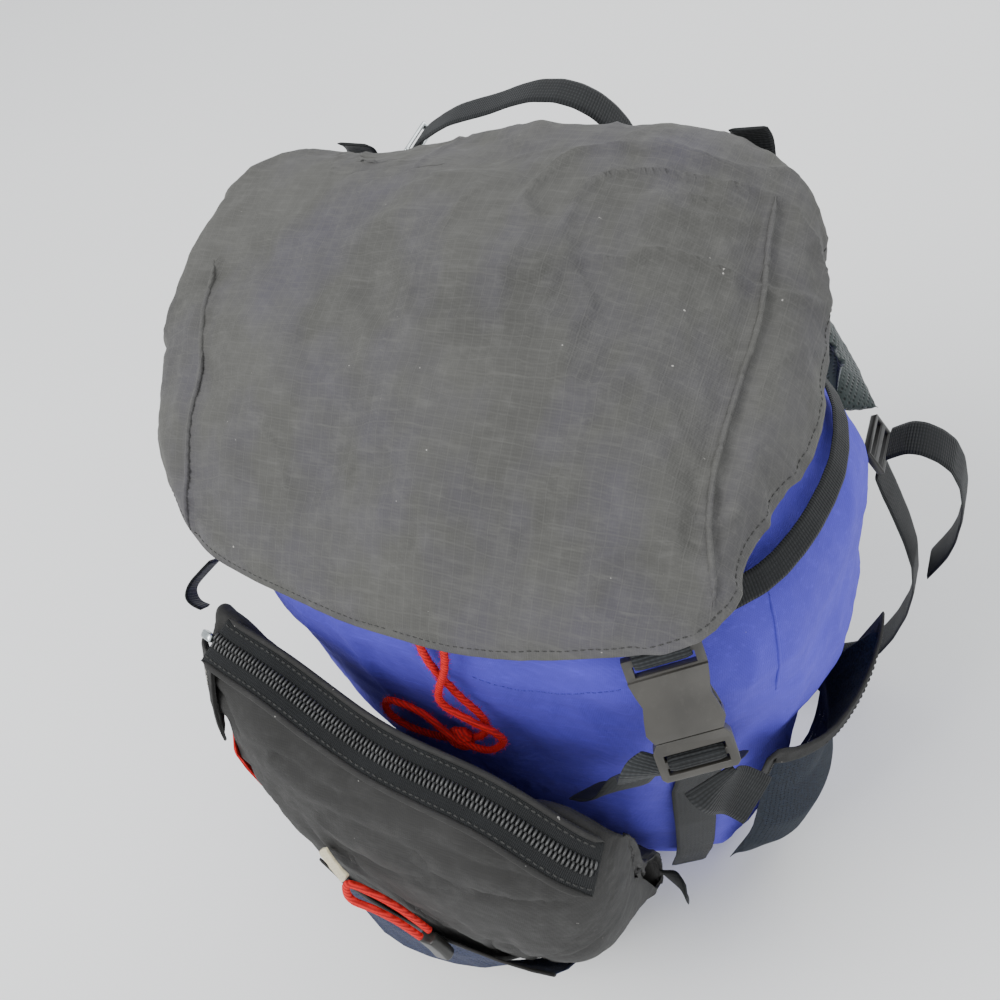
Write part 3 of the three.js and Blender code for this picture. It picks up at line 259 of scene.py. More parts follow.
def spacer(name, shade):
    """Knitted spacer cloth of the padding: small dimples in rows, with painted shade in each dimple"""
    f = Finish(name)
    dots = f.add("TexVoronoi", {"Vector": f.place((1, 1, 1)), "Scale": 1 / (2.6 * MM), "Randomness": 0.15})
    dimple = f.band(dots.outputs["Distance"], 0.15, 0.5)
    patches = f.noise(0.03, 3.0, 0.5)
    # painted shade: each dimple is painted darker towards its bottom and lighter at its rim
    tone = f.mixed(dimple, times(shade, 0.4), times(shade, 2.2))
    tone = f.mixed(f.band(patches, 0.4, 0.75, 0, 0.4), tone, times(shade, 3.2))
    f.set(Base_Color=tone, Roughness=0.82, Normal=f.bump(dimple, 0.5 * MM, 0.8))
    f.set(Specular_IOR_Level=0.3, Sheen_Weight=0.3)
    return f.material


def moulded(name, shade):
    """Moulded plastic: fine grain, faint flow marks, and streaks rubbed paler by use"""
    f = Finish(name)
    grain = f.noise(0.0007, 3.0, 0.6)
    scuffs = f.band(f.noise(0.004, 6.0, 0.7, (1, 1, 0.25)), 0.55, 0.75)
    tone = f.mixed(f.band(f.noise(0.02, 3.0, 0.5), 0.35, 0.7), times(shade, 0.85), times(shade, 1.2))
    tone = f.mixed(f.math("MULTIPLY", scuffs, 0.35), tone, times(shade, 1.9))
    f.set(Base_Color=tone, Roughness=f.band(scuffs, 0, 1, 0.36, 0.52), Normal=f.bump(grain, 0.06 * MM, 0.5))
    f.set(Specular_IOR_Level=0.5)
    return f.material


def polished(name, shade):
    f = Finish(name)
    scratch = f.noise(0.0012, 4.0, 0.7, (1, 0.08, 1))
    tone = f.mixed(f.band(f.noise(0.006, 4.0, 0.6), 0.4, 0.75), shade, times(shade, 0.7))
    f.set(Base_Color=tone, Roughness=f.band(scratch, 0.3, 0.7, 0.16, 0.34))
    f.set(Normal=f.bump(scratch, 0.03 * MM, 0.4), Metallic=1.0)
    return f.material


def yarn(name, shade, pitch=1.3 * MM):
    """Cord and thread: plies that wind round, with painted shade in the grooves between them, and a soft bloom of
    loose fibre
    """
    f = Finish(name)
    plies = f.waves(pitch, "DIAGONAL", bend=1.2)
    fibre = f.noise(0.0009, 3.0, 0.7)
    # painted shade: the grooves between the plies are painted darker
    tone = f.mixed(f.band(plies, 0.1, 0.9), times(shade, 0.6), times(shade, 1.25))
    tone = f.mixed(f.band(fibre, 0.5, 0.8, 0, 0.35), tone, times(shade, 1.7))
    f.set(Base_Color=tone, Roughness=0.8, Normal=f.bump(f.math("ADD", plies, fibre), 0.3 * MM, 0.8))
    f.set(Specular_IOR_Level=0.3, Sheen_Weight=0.4, Sheen_Tint=rgba(times(shade, 1.6)))
    return f.material


def plain_floor(name):
    f = Finish(name)
    tone = f.mixed(f.noise(0.4, 2.0), (0.86, 0.86, 0.85), (0.9, 0.9, 0.89))
    f.set(Base_Color=tone, Roughness=0.9)
    return f.material


def finishes():
    """Every material, made once and then found by name"""
    if "lid_weave" in bpy.data.materials:
        return bpy.data.materials
    cloth, trim = cloth_settings(), trim_settings()
    purple = (0.07, 0.064, 0.092)
    woven("lid_weave", cloth.lid_colour, cloth.weave, 0.16, ripstop=4.6 * MM, cast=purple, lint=0.55)
    woven("sack_weave", cloth.sack_colour, cloth.weave * 0.8, 0.07, sheen=0.3, lint=0.18)
    woven("pocket_weave", cloth.pocket_colour, cloth.weave, 0.2, sheen=0.2, lint=0.35)
    woven("binding_weave", times(cloth.pocket_colour, 0.7), cloth.weave * 0.7, 0.2, lint=0.15)
    spacer("pad_knit", cloth.pad_colour)
    netted("net_yarn", trim.net_colour)
    netted("pocket_net_yarn", (0.014, 0.02, 0.05))
    ribbed("webbing_ribs", trim.webbing_colour, trim.rib)
    ribbed("grey_ribs", times(trim.webbing_colour, 2.1), trim.rib)
    ribbed("zip_tape_weave", times(trim.webbing_colour, 0.9), trim.rib * 0.6, 0.1)
    yarn("red_yarn", trim.cord_colour)
    woven("red_patch_weave", trim.cord_colour, cloth.weave * 0.7, 0.1, lint=0.0)
    moulded("buckle_plastic", trim.plastic_colour)
    moulded("dark_plastic", times(trim.plastic_colour, 0.3))
    moulded("coil_plastic_shine", (0.055, 0.055, 0.054))
    polished("steel", trim.metal_colour)
    woven("cream_tape_weave", trim.tape_colour, cloth.weave * 0.8, 0.1, lint=0.0)
    yarn("pale_thread", (0.42, 0.41, 0.37), 0.8 * MM)
    yarn("dark_thread", (0.045, 0.045, 0.043), 0.8 * MM)
    yarn("blue_thread", (0.06, 0.055, 0.36), 0.8 * MM)
    plain_floor("pale_floor")
    return bpy.data.materials


# ---- meshes ----------------------------------------------------------------------------------------


def add_piece(name, verts, faces, material, replaces=(), uv=None, smooth=True):
    mesh = bpy.data.meshes.new(name)
    mesh.from_pydata([tuple(v) for v in verts], [], [tuple(int(i) for i in face) for face in faces])
    if uv is not None:
        layer = mesh.uv_layers.new(name="cloth").data
        for loop in mesh.loops:
            layer[loop.index].uv = uv[loop.vertex_index]
    made = bpy.data.objects.new(name, mesh)
    bpy.context.scene.collection.objects.link(made)
    return dress(made, material, replaces, smooth)


def dress(piece, material, replaces=(), smooth=True):
    mesh = piece.data
    mesh.materials.clear()
    mesh.materials.append(finishes()[material])
    mesh.polygons.foreach_set("use_smooth", [smooth] * len(mesh.polygons))
    mesh.update()
    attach(piece, "root")
    if replaces:
        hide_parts(*replaces)
    return piece


def settle(piece):
    """Applies what the modifiers make, so that none is left"""
    shown = piece.evaluated_get(bpy.context.evaluated_depsgraph_get())
    made = bpy.data.meshes.new_from_object(shown)
    old = piece.data
    piece.modifiers.clear()
    piece.data = made
    bpy.data.meshes.remove(old)
    made.name = piece.name
    return piece


def points_of(piece):
    flat = np.empty(len(piece.data.vertices) * 3)
    piece.data.vertices.foreach_get("co", flat)
    return flat.reshape(-1, 3)


def normals_of(piece):
    flat = np.empty(len(piece.data.vertices) * 3)
    piece.data.vertices.foreach_get("normal", flat)
    return flat.reshape(-1, 3)


def move_points(piece, points):
    piece.data.vertices.foreach_set("co", np.asarray(points, float).ravel())
    piece.data.update()


def tree_of(piece):
    mesh = piece.data
    return BVHTree.FromPolygons([v.co for v in mesh.vertices], [tuple(p.vertices) for p in mesh.polygons])


def node_mesh(node):
    made = bmesh.new()
    made.from_mesh(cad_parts[node].data)
    bmesh.ops.remove_doubles(made, verts=made.verts, dist=0.02 * MM)
    return made


def node_tree(node):
    return BVHTree.FromBMesh(node_mesh(node))


def node_points(node):
    made = node_mesh(node)
    points = np.array([v.co for v in made.verts])
    made.free()
    return points


def copy_of_node(name, node):
    made = node_mesh(node)
    mesh = bpy.data.meshes.new(name)
    made.to_mesh(mesh)
    made.free()
    piece = bpy.data.objects.new(name, mesh)
    bpy.context.scene.collection.objects.link(piece)
    return piece


def outer_skin(name, node, towards, turn=62, rounds=3):
    """The outer cloth of a hollow node: from its face furthest along a direction, up to sharp edges"""
    made = node_mesh(node)
    way = Vector(towards)
    seed = max(made.faces, key=lambda face: face.calc_center_median().dot(way))
    kept, open_faces = {seed}, [seed]
    while open_faces:
        face = open_faces.pop()
        for edge in face.edges:
            for other in edge.link_faces:
                if other not in kept and face.normal.angle(other.normal, 0) < math.radians(turn):
                    kept.add(other)
                    open_faces.append(other)
    bmesh.ops.delete(made, geom=[face for face in made.faces if face not in kept], context="FACES")
    bmesh.ops.join_triangles(
        made, faces=made.faces, angle_face_threshold=math.radians(42), angle_shape_threshold=math.radians(48)
    )
    mesh = bpy.data.meshes.new(name)
    made.to_mesh(mesh)
    made.free()
    piece = bpy.data.objects.new(name, mesh)
    bpy.context.scene.collection.objects.link(piece)
    piece.modifiers.new("rounds", "SUBSURF").levels = rounds
    calm = piece.modifiers.new("calm", "SMOOTH")
    calm.iterations = 6
    calm.factor = 0.5
    return settle(piece)


def thicken(piece, thick, offset=-1.0):
    wall = piece.modifiers.new("wall", "SOLIDIFY")
    wall.thickness = thick
    wall.offset = offset
    return settle(piece)


# Smooth random fields, the same in every run


def mixed_bits(cells, seed):
    h = (cells[..., 0] * 73856093) ^ (cells[..., 1] * 19349663) ^ (cells[..., 2] * 83492791) ^ (seed * 2654435761)
    h = (h ^ (h >> 13)) * 1274126177
    return ((h ^ (h >> 16)) & 0xFFFF) / 32767.5 - 1.0


def lumps(points, size, seed=1):
    """A smooth field from about −1 to 1, in lumps of the given size (one number, or one along each axis)"""
    p = np.asarray(points) / np.asarray(size, float) + 0.37 * seed
    low = np.floor(p).astype(np.int64)
    part = p - low
    part = part**3 * (part * (part * 6 - 15) + 10)
    total = np.zeros(len(p))
    for i in (0, 1):
        for j in (0, 1):
            for k in (0, 1):
                corner = np.array([i, j, k])
                share = np.prod(np.where(corner == 1, part, 1 - part), axis=1)
                total += share * mixed_bits(low + corner, seed)
    return total * 1.6


def folds(points, size, seed=1, sharp=1.6, bend=0.45):
    """Ridges with softer valleys between them, bent by a slower field"""
    size = np.asarray(size, float) * np.ones(3)
    pushed = points + bend * size * np.stack([lumps(points, size * 1.7, seed + n) for n in (5, 6, 7)], axis=1)
    near = np.sqrt(lumps(pushed, size, seed) ** 2 + 0.03)  # rounds the crest, so that it has no sharp edge
    return (1 - np.minimum(1, near)) ** sharp * 2 - 1


def along_path(points, spacing):
    """A smooth path through a few points, in steps of about the given length"""
    points = np.asarray(points, float)
    ghost = np.vstack([2 * points[0] - points[1], points, 2 * points[-1] - points[-2]])
    made = []
    for a, b, c, d in zip(ghost, ghost[1:], ghost[2:], ghost[3:]):
        steps = max(2, int(np.linalg.norm(c - b) / spacing * 2))
        ka, kc = max(1e-9, np.linalg.norm(b - a)) ** 0.5, max(1e-9, np.linalg.norm(d - c)) ** 0.5
        kb = max(1e-9, np.linalg.norm(c - b)) ** 0.5
        m1 = (b - a) / ka - (c - a) / (ka + kb) + (c - b) / kb
        m2 = (c - b) / kb - (d - b) / (kb + kc) + (d - c) / kc
        for t in np.arange(steps) / steps:
            made.append(
                (2 * t**3 - 3 * t**2 + 1) * b
                + (t**3 - 2 * t**2 + t) * m1 * kb
                + (3 * t**2 - 2 * t**3) * c
                + (t**3 - t**2) * m2 * kb
            )
    made.append(points[-1])
    return evenly(np.array(made), spacing)


def evenly(points, spacing):
    steps = np.linalg.norm(np.diff(points, axis=0), axis=1)
    run = np.concatenate([[0], np.cumsum(steps)])
    count = max(2, int(round(run[-1] / spacing)) + 1)
    at = np.linspace(0, run[-1], count)
    return np.stack([np.interp(at, run, points[:, k]) for k in range(3)], axis=1)


def run_length(points):
    return float(np.linalg.norm(np.diff(points, axis=0), axis=1).sum())


def ways_of(points):
    way = np.gradient(points, axis=0)
    return way / np.linalg.norm(way, axis=1, keepdims=True)


def unit(vectors):
    return vectors / np.maximum(1e-12, np.linalg.norm(vectors, axis=-1, keepdims=True))


def swept(path, ups, section, closed_ends=True):
    """A section (across, out) carried along a path; returns verts, faces and uv in metres (along, across)"""
    ways = ways_of(path)
    sides = unit(np.cross(ways, ups))
    outs = unit(np.cross(sides, ways))
    run = np.concatenate([[0], np.cumsum(np.linalg.norm(np.diff(path, axis=0), axis=1))])
    verts, uv = [], []
    count = len(section[0]) if np.ndim(section) == 3 else len(section)
    for i, at in enumerate(path):
        ring = section[i] if np.ndim(section) == 3 else section
        for across, out in ring:
            verts.append(at + sides[i] * across + outs[i] * out)
            uv.append((run[i], across))
    faces = []
    for i in range(len(path) - 1):
        for k in range(count):
            a, b = i * count + k, i * count + (k + 1) % count
            faces.append((a, a + count, b + count, b))
    if closed_ends:
        faces.append(tuple(range(count)))
        faces.append(tuple(range((len(path) - 1) * count, len(path) * count))[::-1])
    return np.array(verts), faces, uv


def round_section(radius, sides=8):
    turn = np.linspace(0, 2 * np.pi, sides, endpoint=False)
    return np.stack([np.cos(turn), np.sin(turn)], axis=1) * radius


def band_section(width, thick, count=9):
    """A flat band with rounded edges, as an outline (across, out) of 2·count points"""
    turn = np.linspace(-1, 1, count)
    across = np.sign(turn) * np.abs(turn) ** 0.8 * width / 2
    out = thick / 2 * np.maximum(0, 1 - np.abs(turn) ** 8) ** 0.5
    out = np.maximum(out, 0.12 * thick)
    top = np.stack([across, out], axis=1)
    return np.vstack([top, top[::-1] * [1, -1]])


# The photograph's camera, and where its rays meet a piece


def camera_axes():
    t, h, r = CAMERA_TURN, CAMERA_HEIGHT, CAMERA_ROLL
    back = Vector((math.sin(t) * math.cos(h), -math.cos(t) * math.cos(h), math.sin(h)))
    right = Vector((math.cos(t), math.sin(t), 0))
    up = back.cross(right)
    return math.cos(r) * right + math.sin(r) * up, -math.sin(r) * right + math.cos(r) * up, back


def seen_on(tree, pixels):
    """Points and normals where pixels of the photograph fall on a piece"""
    right, up, back = camera_axes()
    reach = CAMERA_LENS / SENSOR * PHOTO_SIDE
    points, normals = [], []
    for x, y in pixels:
        aside, down = (x - PHOTO_SIDE / 2) / reach, (y - PHOTO_SIDE / 2) / reach
        way = (right * aside - up * down - back).normalized()
        at, normal, _, _ = tree.ray_cast(CAMERA_PLACE, way)
        if at is not None:
            points.append(np.array(at))
            normals.append(np.array(normal if normal.dot(back) > 0 else -normal))
    return np.array(points), np.array(normals)


def laid_on(tree, points, lift=0.0):
    """Points moved onto the nearest place of a piece, and that place's normals"""
    found, normals = [], []
    for point in points:
        at, normal, _, _ = tree.find_nearest(Vector(point))
        found.append(np.array(at + normal * lift))
        normals.append(np.array(normal))
    return np.array(found), np.array(normals)


def path_on_photo(tree, pixels, spacing, lift=0.0):
    points, _ = seen_on(tree, pixels)
    path = along_path(points, spacing)
    return laid_on(tree, path, lift)


def piping(name, path, ups, radius, material):
    """A cord of rolled cloth along a seam"""
    path = np.array(path)
    for _ in range(8):
        path[1:-1] = (path[:-2] + 2 * path[1:-1] + path[2:]) / 4
    taper = np.clip(np.minimum(np.arange(len(path)), np.arange(len(path))[::-1]) / 4, 0.25, 1)
    rings = np.array([round_section(radius * share, 10) for share in taper])
    verts, faces, uv = swept(path, ups, rings)
    return add_piece(name, verts, faces, material, uv=uv)


class Stitching:
    """Rows of stitches, gathered into one piece"""

    def __init__(self, thick=0.5 * MM):
        self.thick = thick
        self.verts, self.faces = [], []

    def row(self, path, ups, gap=1.0 * MM):
        step = trim_settings().stitch + gap
        run = np.concatenate([[0], np.cumsum(np.linalg.norm(np.diff(path, axis=0), axis=1))])
        if run[-1] < step:
            return self
        for start in np.arange(0.3 * step, run[-1] - step, step):
            ends = [np.array([np.interp(s, run, path[:, k]) for k in range(3)]) for s in (start, start + step - gap)]
            up = np.array([np.interp(start, run, ups[:, k]) for k in range(3)])
            self.one(ends[0], ends[1], up / np.linalg.norm(up))
        return self

    def one(self, a, b, up):
        way = unit(b - a)
        side = unit(np.cross(way, up))
        first = len(self.verts)
        for share, radius, rise in ((0.0, 0.45, -0.35), (0.25, 1.0, 0.15), (0.75, 1.0, 0.15), (1.0, 0.45, -0.35)):
            at = a + (b - a) * share + up * rise * self.thick
            for turn in range(6):
                c, s = math.cos(turn * math.pi / 3), math.sin(turn * math.pi / 3)
                self.verts.append(at + (side * c + up * s * 0.8) * radius * self.thick)
        for ring in range(3):
            for k in range(6):
                i, j = first + ring * 6 + k, first + ring * 6 + (k + 1) % 6
                self.faces.append((i, j, j + 6, i + 6))
        self.faces.append(tuple(first + k for k in range(6))[::-1])
        self.faces.append(tuple(first + 18 + k for k in range(6)))

    def piece(self, name, material, slot):
        return add_piece(name, self.verts, self.faces, material)


def ridge_along(points, path, width, height):
    """Height of a raised line at each point, from its distance to a path"""
    gaps = np.full(len(points), 1e9)
    for at in evenly(path, width * 0.7):
        gaps = np.minimum(gaps, np.linalg.norm(points - at, axis=1))
    return height * np.exp(-((gaps / width) ** 2))


def push_out(piece, *fields):
    """Moves each point along its normal by the sum of the fields"""
    move_points(piece, points_of(piece) + normals_of(piece) * sum(fields)[:, None])


def bevelled(name, node, width, material, segments=2):
    """A hard piece: the node's own shape with its edges rounded"""
    piece = copy_of_node(name, node)
    flat = piece.modifiers.new("flat", "DECIMATE")
    flat.decimate_type = "DISSOLVE"
    flat.angle_limit = math.radians(2)
    edge = piece.modifiers.new("edge", "BEVEL")
    edge.width = width
    edge.segments = segments
    edge.limit_method = "ANGLE"
    edge.angle_limit = math.radians(25)
    settle(piece)
    dress(piece, material, (node,), smooth=True)
    piece.data.set_sharp_from_angle(angle=math.radians(38))
    return piece


# ---- the cord, made first, and the camera ----------------------------------------------------------


CORD_DIAMETER = 4 * MM
CORD_ROUTE = [
    (-0.05, -0.985, 0.885),
    (-0.047, -1.03, 0.855),
    (-0.035, -1.07, 0.8),
    (0.012, -1.075, 0.733),
    (0.06, -1.065, 0.672),
    (0.03, -1.06, 0.622),
    (-0.05, -1.055, 0.59),
    (-0.17, -1.055, 0.568),
    (-0.28, -1.055, 0.575),
    (-0.31, -1.065, 0.612),
    (-0.27, -1.07, 0.652),
    (-0.17, -1.07, 0.642),
    (-0.065, -1.1, 0.61),
    (0.04, -1.1, 0.602),
    (0.105, -1.08, 0.628),
    (0.1, -1.09, 0.655),
    (0.045, -1.115, 0.69),
    (-0.02, -1.13, 0.733),
    (0.025, -1.08, 0.8),
    (0.037, -1.03, 0.855),
    (0.037, -0.985, 0.885),
]


def spot(x, y, z):
    """A point from shares of the sack's half width, half depth and height"""
    return np.array([x * SACK_WIDTH / 2, y * SACK_DEPTH / 2, z * SACK_HEIGHT])


def steady_ups(path, first=(0, 0, 1)):
    """Directions across a path that turn with it and don't twist"""
    ways, up = ways_of(path), np.array(first, float)
    made = []
    for way in ways:
        up = unit(up - way * np.dot(up, way))
        made.append(up)
    return np.array(made)


def twisted_tube(path, radius, plies=3, twist=9 * MM, sides=12, depth=0.12):
    """A cord of wound plies"""
    ups = steady_ups(path, (0.3, 0.1, 1))
    run = np.concatenate([[0], np.cumsum(np.linalg.norm(np.diff(path, axis=0), axis=1))])
    turn = np.linspace(0, 2 * np.pi, sides, endpoint=False)
    rings = []
    for s in run:
        bulge = np.abs(np.cos(plies * (turn - 2 * np.pi * s / (twist * plies)) / 2))
        r = radius * (1 - depth + depth * bulge)
        rings.append(np.stack([np.cos(turn) * r, np.sin(turn) * r], axis=1))
    return swept(path, ups, np.array(rings))


def loose_fibres(path, radius, count, reach, seed):
    """Short fibres that stand out of a cord"""
    rng = np.random.default_rng(seed)
    ways, ups = ways_of(path), steady_ups(path)
    verts, faces = [], []
    for _ in range(count):
        i = int(rng.integers(2, len(path) - 2))
        side = np.cross(ways[i], ups[i])
        turn = rng.uniform(0, 2 * np.pi)
        out = ups[i] * math.cos(turn) + side * math.sin(turn)
        lean = unit(out + ways[i] * rng.uniform(-1.2, 1.2) + rng.normal(0, 0.35, 3))
        root = path[i] + out * radius * 0.85
        tip = root + lean * reach * rng.uniform(0.4, 1.0)
        middle = (root + tip) / 2 + out * reach * rng.uniform(0, 0.25)
        across = unit(np.cross(lean, out + 0.01)) * 0.09 * MM
        first = len(verts)
        for at, wide in ((root, 1.0), (middle, 0.8), (tip, 0.3)):
            verts += [at + across * wide, at - across * wide, at + np.cross(across, lean) * wide]
        for ring in (0, 3):
            for k in range(3):
                a, b = first + ring + k, first + ring + (k + 1) % 3
                faces.append((a, b, b + 3, a + 3))
        faces += [(first + 2, first + 1, first), (first + 6, first + 7, first + 8)]
    return verts, faces


class BACKPACK_OT_camera(bpy.types.Operator):
    """Places the camera where the photograph was taken"""

    bl_idname = "backpack.camera"
    bl_label = "Camera"

    def execute(self, context):
        right, up, back = camera_axes()
        data = bpy.data.cameras.new("photo_camera")
        data.sensor_width = SENSOR
        data.lens = CAMERA_LENS
        data.clip_start = 0.01
        camera = bpy.data.objects.new("photo_camera", data)
        context.scene.collection.objects.link(camera)
        turned = Matrix((right, up, back)).transposed().to_4x4()
        camera.matrix_world = Matrix.Translation(CAMERA_PLACE) @ turned
        context.scene.camera = camera
        return {"FINISHED"}


class BACKPACK_OT_drawcord(bpy.types.Operator):
    """Makes the collar's red drawcord, its knot and the fibres that stand out of it"""

    bl_idname = "backpack.drawcord"
    bl_label = "Drawcord"

    def execute(self, context):
        path = along_path([spot(*row) for row in CORD_ROUTE], 1.1 * MM)
        verts, faces, uv = twisted_tube(path, CORD_DIAMETER / 2)
        cord = add_piece("red_drawcord", verts, faces, "red_yarn", ("drawcord",), uv)
        verts, faces = loose_fibres(path, CORD_DIAMETER / 2, 2600, 2.6 * MM, 11)
        fluff = add_piece("drawcord_fibres", verts, faces, "red_yarn")
        knot = copy_of_node("red_knot", "drawcord_knot")
        knot.modifiers.new("rounds", "SUBSURF").levels = 2
        settle(knot)
        points = points_of(knot)
        push_out(knot, 0.5 * MM * folds(points, 3.4 * MM, 3) + 0.1 * MM * lumps(points, 1.0 * MM, 4))
        dress(knot, "red_yarn", ("drawcord_knot",))
        return {"FINISHED"}


# ---- cloth bodies ----------------------------------------------------------------------------------


# Where seams run in the photograph, in pixels
LID_SEAM_RIGHT = [
    (776, 196),
    (773, 232),
    (771, 262),
    (764, 304),
    (748, 358),
    (733, 402),
    (719, 455),
    (711, 505),
    (712, 560),
    (717, 608),
    (722, 634),
]
LID_SEAM_LEFT = [(226, 196), (214, 260), (203, 330), (192, 400), (186, 470), (190, 530)]
POCKET_SEAM = [(240, 668), (300, 712), (370, 768), (440, 806), (510, 846), (560, 880)]
SACK_CHANNEL = [(470, 676), (520, 690), (570, 694), (625, 688)]
SACK_SEAM = [(768, 590), (775, 620), (779, 655), (776, 690)]

skins = {}  # each cloth body's outer surface, which what is sewn on it is laid on


class BACKPACK_OT_sack(bpy.types.Operator):
    """Makes the main sack of blue cloth, with its folds, channel seam and gathered collar"""

    bl_idname = "backpack.sack"
    bl_label = "Sack"

    def execute(self, context):
        sack = outer_skin("sack_cloth", "sack", (1, 0, 0.05), rounds=3)
        points = points_of(sack)
        up = np.clip(points[:, 2] / SACK_HEIGHT, 0, 1)
        collar = np.clip((up - 0.82) / 0.12, 0, 1)
        foot = np.clip(points[:, 2] / (30 * MM), 0, 1)
        drape = 1.5 * MM * lumps(points, (0.06, 0.06, 0.13), 2)
        upright = 1.5 * MM * folds(points, (0.042, 0.042, 0.16), 8, 2.2)
        level = 0.8 * MM * folds(points, (0.09, 0.09, 0.03), 21, 2.4)
        fine = 0.35 * MM * folds(points, 0.013, 31, 1.6) + 0.12 * MM * lumps(points, 0.005, 41)
        turn = np.arctan2(points[:, 1], points[:, 0])
        gathers = 2.0 * MM * np.sin(turn * 34 + 3 * lumps(points, 0.05, 51)) * collar
        push_out(sack, foot * (drape + upright * (1 - 0.5 * collar) + level + fine) - 1.0 * MM, gathers)
        skins["sack"] = tree_of(sack)
        thicken(sack, cloth_settings().wall)
        dress(sack, "sack_weave", ("sack",))
        threads = Stitching(0.26 * MM)
        for pixels in (SACK_CHANNEL, SACK_SEAM):
            path, ups = path_on_photo(skins["sack"], pixels, 2 * MM, 0.2 * MM)
            threads.row(path, ups)
        threads.piece("sack_stitches", "blue_thread", "sack_cloth")
        path, ups = path_on_photo(skins["sack"], SACK_SEAM, 2 * MM)
        piping("sack_piping", path, ups, 1.0 * MM, "sack_weave")
        return {"FINISHED"}


class BACKPACK_OT_lid(bpy.types.Operator):
    """Makes the lid of grey ripstop, with its folds, raised seams and stitched hem"""

    bl_idname = "backpack.lid"
    bl_label = "Lid"

    def execute(self, context):
        lid = outer_skin("lid_cloth", "lid", (0, 0, 1), rounds=3)
        tree = tree_of(lid)
        seams = [path_on_photo(tree, pixels, 2 * MM)[0] for pixels in (LID_SEAM_RIGHT, LID_SEAM_LEFT)]
        points = points_of(lid)
        rim = np.clip((points[:, 2] - points[:, 2].min()) / (48 * MM), 0, 1)
        broad = 1.9 * MM * lumps(points, (0.07, 0.055, 0.07), 3)
        crumple = 2.3 * MM * folds(points, (0.06, 0.035, 0.06), 12, 2.6, 0.9)
        across = 0.9 * MM * folds(points, (0.022, 0.05, 0.03), 23, 2.0, 0.7)
        fine = 0.42 * MM * folds(points, 0.012, 33, 1.5) + 0.13 * MM * lumps(points, 0.0045, 43)
        raised = sum(ridge_along(points, seam, 2.4 * MM, 2.6 * MM) for seam in seams)
        channel = sum(ridge_along(points, seam, 8 * MM, -1.6 * MM) for seam in seams)
        crumpled = rim * (broad + crumple + across) + (0.3 + 0.7 * rim) * fine
        push_out(lid, crumpled, raised + channel, -0.6 * MM * rim)
        skins["lid"] = tree_of(lid)
        self.sew_hem(lid, seams)
        thicken(lid, cloth_settings().wall)
        dress(lid, "lid_weave", ("lid",))
        return {"FINISHED"}

    def sew_hem(self, lid, seams):
        threads = Stitching(0.3 * MM)
        path, ups = laid_on(skins["lid"], hem_of(lid) + np.array([0, 0, 6 * MM]), 0.05 * MM)
        threads.row(path, ups)
        threads.piece("lid_stitches", "dark_thread", "lid_cloth")
        for name, seam in zip(("right", "left"), seams):
            path, ups = laid_on(skins["lid"], seam, 0.3 * MM)
            piping("lid_piping_" + name, path, ups, 1.3 * MM, "lid_weave")


def hem_of(piece):
    """The longest open edge of a cloth surface, as a closed path"""
    made = bmesh.new()
    made.from_mesh(piece.data)
    loose = {edge for edge in made.edges if edge.is_boundary}
    best = []
    while loose:
        edge = loose.pop()
        loop, last = [edge.verts[0], edge.verts[1]], edge.verts[1]
        while True:
            following = [e for e in last.link_edges if e in loose]
            if not following:
                break
            loose.discard(following[0])
            last = following[0].other_vert(last)
            loop.append(last)
        if len(loop) > len(best):
            best = loop
    path = np.array([v.co for v in best])
    made.free()
    return evenly(path, 2 * MM)


class BACKPACK_OT_pocket(bpy.types.Operator):
    """Makes the front pocket of charcoal cloth, with its wrinkled face and the seam in front of the zip"""

    bl_idname = "backpack.pocket"
    bl_label = "Front pocket"

    def execute(self, context):
        pocket = outer_skin("pocket_cloth", "front_pocket", (0, -1, 0), turn=68, rounds=3)
        tree = tree_of(pocket)
        seam, _ = path_on_photo(tree, POCKET_SEAM, 2 * MM)
        zip_line, _ = zip_path()
        points = points_of(pocket)
        gaps = np.full(len(points), 1e9)
        for at in evenly(zip_line, 4 * MM):
            gaps = np.minimum(gaps, np.linalg.norm(points - at, axis=1))
        ends = np.clip((points[:, 0].max() - points[:, 0]) / (45 * MM), 0.1, 1)
        calm = np.clip((gaps - 9 * MM) / (18 * MM), 0, 1) * ends
        wrinkles = 2.6 * MM * folds(points, (0.05, 0.05, 0.026), 14, 2.4, 1.0)
        broad = 1.6 * MM * lumps(points, (0.07, 0.05, 0.06), 4)
        fine = 0.4 * MM * folds(points, 0.012, 34, 1.5) + 0.12 * MM * lumps(points, 0.0045, 44)
        fold = ridge_along(points, seam, 3 * MM, -1.2 * MM) + ridge_along(points, seam + [0, -3 * MM, 4 * MM], 3 * MM, 1 * MM)
        push_out(pocket, calm * (wrinkles + broad) + fine * (0.3 + 0.7 * calm), fold, np.full(len(points), -0.4 * MM))
        skins["pocket"] = tree_of(pocket)
        thicken(pocket, cloth_settings().wall)
        dress(pocket, "pocket_weave", ("front_pocket",))
        threads = Stitching()
        path, ups = laid_on(skins["pocket"], seam + np.array([0, -1, 1]) * 3 * MM, 0.15 * MM)
        threads.row(path, ups)
        threads.piece("pocket_stitches", "dark_thread", "pocket_cloth")
        return {"FINISHED"}


# ---- zip -------------------------------------------------------------------------------------------


def zip_path():
    """The middle line of the zip's coil and the way it faces, from its node"""
    points = node_points("zip_coil")
    x = points[:, 0]
    fits = [np.polynomial.Polynomial.fit(x, points[:, k], 6) for k in (1, 2)]
    across = np.linspace(x.min() - 1 * MM, x.max() + 1 * MM, 260)
    path = evenly(np.stack([across, fits[0](across), fits[1](across)], axis=1), 1.5 * MM)
    tree = node_tree("zip_tape")
    ups = laid_on(tree, path + np.array([0, 0, 4 * MM]))[1]
    smooth = np.stack([np.convolve(np.pad(ups[:, k], 8, "edge"), np.ones(17) / 17, "valid") for k in range(3)], axis=1)
    return path, unit(smooth)


